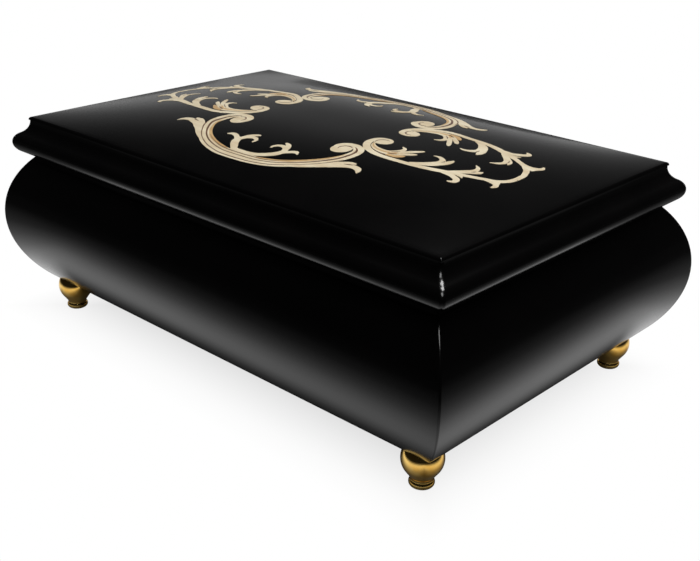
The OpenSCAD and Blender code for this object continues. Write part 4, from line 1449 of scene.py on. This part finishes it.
@dataclass
class Interior:
    """Velvet-lined compartment with its divider and ring rolls, and the window over the movement."""

    lining_t: float = 1.2
    roll_count: int = 4
    roll_r: float = 5.9
    slim: float = 0.93
    gathered: float = 0.38
    gather_run: float = 1.3
    lip: float = 0.25
    pleats: int = 14
    pleat: float = 0.1
    pleat_run: float = 3.2
    crease: float = 0.05
    crease_run: float = 2.0
    crease_waves: Pair = (1.4, 0.32)
    round_steps: int = 56
    long_steps: int = 80
    ends: Sequence[float] = (0.0, 0.15, 0.5, 0.95, 1.5, 2.1, 2.8)
    end_run: float = 3.5
    bed_edge: float = 0.4
    stuffing: Stuffing = Stuffing()

    def build_lining(self) -> None:
        """Build the lining as a soft-edged tray: insets, roundings and heights from outside inwards."""
        room = Room.of("compartment_lining")
        low, high, t = room.low.z, room.high.z, self.lining_t
        rings = [
            room.ring(d, d, r, z)
            for d, r, z in (
                (0.0, 0.3, low),
                (0.0, 0.3, high - 0.6),
                (0.12, 0.4, high - 0.2),
                (t / 2, 0.6, high),
                (t - 0.12, 0.9, high - 0.2),
                (t, 1.1, high - 0.7),
                (t + 0.1, 1.2, (low + high) / 2),
                (t, 1.2, low + t + 1.2),
                (t + 0.35, 1.0, low + t + 0.4),
                (t + 1.2, 0.8, low + t + 0.05),
                (t + 6.0, 0.8, low + t),
                (t + 14.0, 0.8, low + t),
            )
        ]
        node = "compartment_lining"
        make_piece("velvet_tray", loft(rings), [RED_VELVET], "case", node, sharp=60)

    def build_divider(self) -> None:
        """Build the covered divider with its rounded top: insets along x and y, and heights."""
        room = Room.of("roll_divider")
        low, high = room.low.z, room.high.z
        rings = [
            room.ring(d, e, 0.25, z)
            for d, e, z in (
                (0.0, 0.0, low),
                (0.0, 0.0, high - 1.0),
                (0.12, 0.05, high - 0.5),
                (0.38, 0.15, high - 0.14),
                (0.7, 0.35, high),
            )
        ]
        node = "roll_divider"
        make_piece("velvet_divider", loft(rings), [RED_VELVET], "case", node, sharp=70)

    def around(self, x: float, y: float, half: float) -> list[float]:
        """Radii of a roll's cover, gathered in pleats at its ends and lightly creased.

        Args:
            x: Place of the roll's axis.
            y: Place along the roll.
            half: Half the roll's length.

        Returns:
            The radii at even turns round the axis.
        """
        near = half - abs(y)
        swelling = 1 - math.exp(-((near + self.lip) / self.gather_run))
        full = self.gathered + (1 - self.gathered) * swelling
        pleat = self.pleat * math.exp(-near / self.pleat_run)
        fade = 1 - math.exp(-near / self.crease_run)
        bend, along = self.crease_waves
        out = []
        for k in range(self.round_steps):
            a = 2 * math.pi * k / self.round_steps
            wave = noise.noise(Vector((x + math.cos(a) * bend, y * along, math.sin(a) * bend)))
            share = full * (1 + pleat * math.cos(self.pleats * a + x)) + self.crease * wave * fade
            out.append(self.roll_r * self.slim * min(1.0, share))
        return out

    def roll(self, x: float, middle: float, half: float, relief: Relief) -> None:
        """Add one stuffed roll, gathered at its ends.

        Args:
            x: Place of its axis.
            middle: Height of its axis.
            half: Half its length.
            relief: The mesh that it is added to.
        """
        n = self.round_steps
        turns = [2 * math.pi * k / n for k in range(n)]
        plain = 2 * half - 2 * self.end_run
        inner = [-half + self.end_run + plain * k / self.long_steps for k in range(self.long_steps + 1)]
        stations = [-half + e for e in self.ends] + inner + [half - e for e in reversed(self.ends)]
        cover = Relief()
        rows = []
        for y in stations:
            radii = self.around(x, y, half)
            rows.append(cover.add([
                (x + r * math.cos(a), y, middle + r * math.sin(a)) for r, a in zip(radii, turns)
            ]))
        for a, b in zip(rows, rows[1:]):
            for k in range(n):
                cover.face((a[k], a[(k + 1) % n], b[(k + 1) % n], b[k]))
        cover.face(rows[0][::-1])
        cover.face(rows[-1])
        self.stuffing.swell(cover, rows[0] + rows[1] + rows[-2] + rows[-1])
        relief.join([self.within(p, x, middle, half) for p in cover.points], cover.faces)

    def within(self, point: Point, x: float, middle: float, half: float) -> Point:
        """Keep a point inside the room of its roll.

        Args:
            point: The point.
            x: Place of the roll's axis.
            middle: Height of the roll's axis.
            half: Half the roll's length.

        Returns:
            The point, moved in where it stood outside.
        """
        across, up = point[0] - x, point[2] - middle
        share = min(1.0, self.roll_r / max(1e-6, math.hypot(across, up)))
        return (x + across * share, max(-half, min(half, point[1])), middle + up * share)

    def build_rolls(self) -> None:
        """Build the ring rolls on their bed."""
        room = Room.of("ring_rolls")
        low, high = room.low, room.high
        half = (high.y - low.y) / 2
        pitch = (high.x - low.x - 2 * self.bed_edge) / self.roll_count
        middle = high.z - self.roll_r
        relief = Relief()
        for k in range(self.roll_count):
            self.roll(low.x + self.bed_edge + (k + 0.5) * pitch, middle, half, relief)
        bed = ((0.2, low.z), (0.0, low.z + 0.4), (0.0, middle - 2.2), (0.8, middle - 1.2))
        relief.join(*loft([room.ring(d, d, 0.5, z) for d, z in bed]))
        shape = (relief.points, relief.faces)
        pad = make_piece("velvet_rolls", shape, [RED_VELVET], "case", "ring_rolls", sharp=75)

    def build(self) -> None:
        """Build the soft pieces and finish the window."""
        self.build_lining()
        self.build_divider()
        self.build_rolls()
        dress(PLATE_GLASS, "movement_window")


class Movement:
    """The comb movement, whose nodes keep their own shapes."""

    def dress(self) -> None:
        """Finish each node in its metal."""
        dress(CAST, "bedplate")
        dress(STEEL, "comb", "comb_screws", "bedplate_screws", "bracket_screws", "winding_arbor")
        dress(STEEL, "cylinder_arbor", "governor_arbor", "stop_lever")
        dress(BLUED, "mainspring")
        dress(BRASS, "governor_bracket", "spring_barrel", "barrel_cap", "pinned_cylinder", "cylinder_pinion")
        dress(BRASS, "cylinder_wheel", "governor_pinion", "governor_wheel", "winding_key", "plunger_guide")
        dress(BRASS, "stop_plunger")
        dress(NYLON, "worm", "air_fan")


def facing(azimuth: float, elevation: float) -> Vector:
    """Direction from the box to a place round it.

    Args:
        azimuth: Angle from the front towards the right, in radians.
        elevation: Angle over the floor, in radians.

    Returns:
        The direction, of length 1.
    """
    level = math.cos(elevation)
    return Vector((math.sin(azimuth) * level, -math.cos(azimuth) * level, math.sin(elevation)))


@dataclass(frozen=True)
class Lamp:
    """A square soft lamp that looks at the middle of the box."""

    name: str
    azimuth: float
    elevation: float
    distance: float
    side: float
    power: float
    aim: Point = (0.0, 0.0, 0.05)

    def build(self) -> None:
        """Hang the lamp."""
        data = bpy.data.lights.new(self.name, "AREA")
        data.shape = "SQUARE"
        data.size = self.side
        data.energy = self.power
        back = facing(math.radians(self.azimuth), math.radians(self.elevation))
        lamp = link(self.name, data)
        lamp.location = Vector(self.aim) + back * self.distance
        lamp.rotation_euler = back.to_track_quat("Z", "Y").to_euler()


@dataclass
class Studio:
    """Pale floor, dim surround, soft lamps and the camera.

    The floor's levels are given by the distance in metres from a line under the box: as a matt
    sheet; as the camera sees it, white with a painted shadow near the box through which the sheet's
    real shadow shows; and as a painted reflection that gleams in the lacquer and metals, dark under
    the box as a painted shadow. The wall's levels are given by how far behind the box and how high it lies.
    """

    azimuth: float = 0.7464
    elevation: float = 0.408
    roll: float = 0.0175
    place: Point = (0.24466, -0.25411, 0.17411)
    focal_px: float = 1063.89
    frame_px: float = 700.0
    sensor: float = 36.0
    floor_half: float = 30.0
    stretch: float = 0.036
    reach: float = 0.5
    paper: Levels = ((0, 0.84), (0.09, 0.84), (0.11, 0.42), (0.13, 0.2), (0.17, 0.08), (0.3, 0.03))
    # Painted shadow: the share of white that the camera sees on the floor, lower near the box.
    shadow: Levels = ((0, 0.6), (0.042, 0.76), (0.05, 0.85), (0.056, 0.905), (0.062, 0.95), (0.072, 1))
    # Painted reflection: the floor's level in the lacquer and metals, none under the box as a painted shadow,
    # brightest in a band round it.
    painted_gleam: Levels = (
        (0, 0), (0.05, 0.02), (0.057, 0.08), (0.063, 0.28), (0.069, 0.62), (0.077, 0.86), (0.088, 0.82),
        (0.102, 0.52), (0.12, 0.3), (0.15, 0.13), (0.22, 0.06), (0.3, 0.02),
    )
    wall: Levels = ((0, 0), (0.55, 0), (0.8, 1), (1, 1))
    wall_up: Levels = ((0, 0.6), (0.1, 0.3), (0.2, 0.14), (0.3, 0.09), (0.36, 0.05), (0.48, 0), (1, 0))
    dim: float = 0.012
    through: float = 0.2
    lamps: Sequence[Lamp] = (
        Lamp("lamp_top", 165, 75, 1.2, 0.45, 11.0),
        Lamp("lamp_front", 56, 60, 1.2, 0.5, 6.0),
    )

    def build_camera(self) -> None:
        """Set the camera where the picture was taken from."""
        a, r = self.azimuth, self.roll
        back = facing(a, self.elevation)
        right = Vector((math.cos(a), math.sin(a), 0.0))
        up = back.cross(right)
        x = math.cos(r) * right + math.sin(r) * up
        y = math.cos(r) * up - math.sin(r) * right
        data = bpy.data.cameras.new("camera")
        data.sensor_width = self.sensor
        data.sensor_fit = "HORIZONTAL"
        data.lens = self.sensor * self.focal_px / self.frame_px
        data.clip_start = 0.01
        camera = link("camera", data)
        camera.matrix_world = Matrix.Translation(self.place) @ Matrix((x, y, back)).transposed().to_4x4()
        bpy.context.scene.camera = camera

    def build_floor(self) -> None:
        """Lay a wide floor with a white sheet under the box, which keeps the real shadow, and a painted
        shadow near the box in the white that the camera sees.
        """
        far = self.floor_half
        mesh = bpy.data.meshes.new("floor")
        mesh.from_pydata([(-far, -far, 0), (far, -far, 0), (far, far, 0), (-far, far, 0)], [], [(0, 1, 2, 3)])
        floor = link("floor", mesh)
        material = bpy.data.materials.new("pale_floor")
        material.use_nodes = True
        t = Tree(material.node_tree)
        at = t.add("SeparateXYZ", {"Vector": t.add("TexCoord").outputs["Object"]}).outputs
        along = t.math("SUBTRACT", t.math("ABSOLUTE", at["X"]), self.stretch)
        away = t.math("MAXIMUM", along, t.math("ABSOLUTE", at["Y"]))
        sheet, painted_shadow_share, painted_reflection = (t.curve(away, self.reach, v) for v in (self.paper, self.shadow, self.painted_gleam))
        rays = t.add("LightPath").outputs
        # The camera sees white with a painted shadow near the box, where the matt sheet and its real shadow
        # show through.
        clear = t.math("MAXIMUM", rays["Is Camera Ray"], rays["Is Transmission Ray"])
        # Glossy rays see only the painted reflection, because the matt sheet is black to them.
        glossy_painted_reflection = t.math("MULTIPLY", rays["Is Glossy Ray"], painted_reflection)
        share = t.math("MAXIMUM", t.math("MULTIPLY", clear, painted_shadow_share), glossy_painted_reflection)
        dull = t.math("MULTIPLY", sheet, t.math("SUBTRACT", 1.0, rays["Is Glossy Ray"]))
        matt = t.add("BsdfDiffuse", {"Color": dull}).outputs["BSDF"]
        white = t.add("Emission", {"Strength": 1.0}).outputs["Emission"]
        t.add("OutputMaterial", {"Surface": t.mix(share, matt, white)})
        mesh.materials.append(material)

    def build_surround(self) -> None:
        """Set a dim room with a pale wall low behind the box, which the camera sees as white."""
        world = bpy.data.worlds.new("room")
        bpy.context.scene.world = world
        world.use_nodes = True
        t = Tree(world.node_tree)
        at = t.add("SeparateXYZ", {"Vector": t.add("TexCoord").outputs["Generated"]}).outputs
        left = t.math("MULTIPLY", at["X"], -math.sin(self.azimuth))
        behind = t.math("ADD", left, t.math("MULTIPLY", at["Y"], math.cos(self.azimuth)))
        pale = t.math("MULTIPLY", t.curve(behind, 1.0, self.wall), t.curve(at["Z"], 1.0, self.wall_up))
        rays = t.add("LightPath").outputs
        through = t.math("MULTIPLY", rays["Is Transmission Ray"], self.through)
        clear = t.math("MAXIMUM", rays["Is Camera Ray"], through)
        level = t.math("MAXIMUM", clear, t.math("ADD", pale, self.dim))
        sky = t.add("Background", {"Color": (1.0, 1.0, 1.0), "Strength": level}).outputs["Background"]
        t.add("OutputWorld", {"Surface": sky})

    def build(self) -> None:
        """Build the studio."""
        self.build_camera()
        self.build_floor()
        self.build_surround()
        for lamp in self.lamps:
            lamp.build()


def corners(box: Sequence[Vector]) -> list[list[float]]:
    """Two corners of a box as plain numbers."""
    return [[round(float(v), 6) for v in corner] for corner in box]


def main() -> None:
    """Build the box piece by piece."""
    logging.basicConfig(level=logging.INFO, format="%(message)s")
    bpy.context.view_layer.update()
    bpy.context.scene.view_settings.view_transform = "Standard"
    size = Measures()
    hinges = Hinges(size)
    Studio().build()
    Case(size, hinges).build()
    hinges.dress()
    Feet(size).build()
    Lid(size, hinges).build()
    Inlay(size).build()
    Interior().build()
    Movement().dress()


if __name__ == "__main__":
    main()
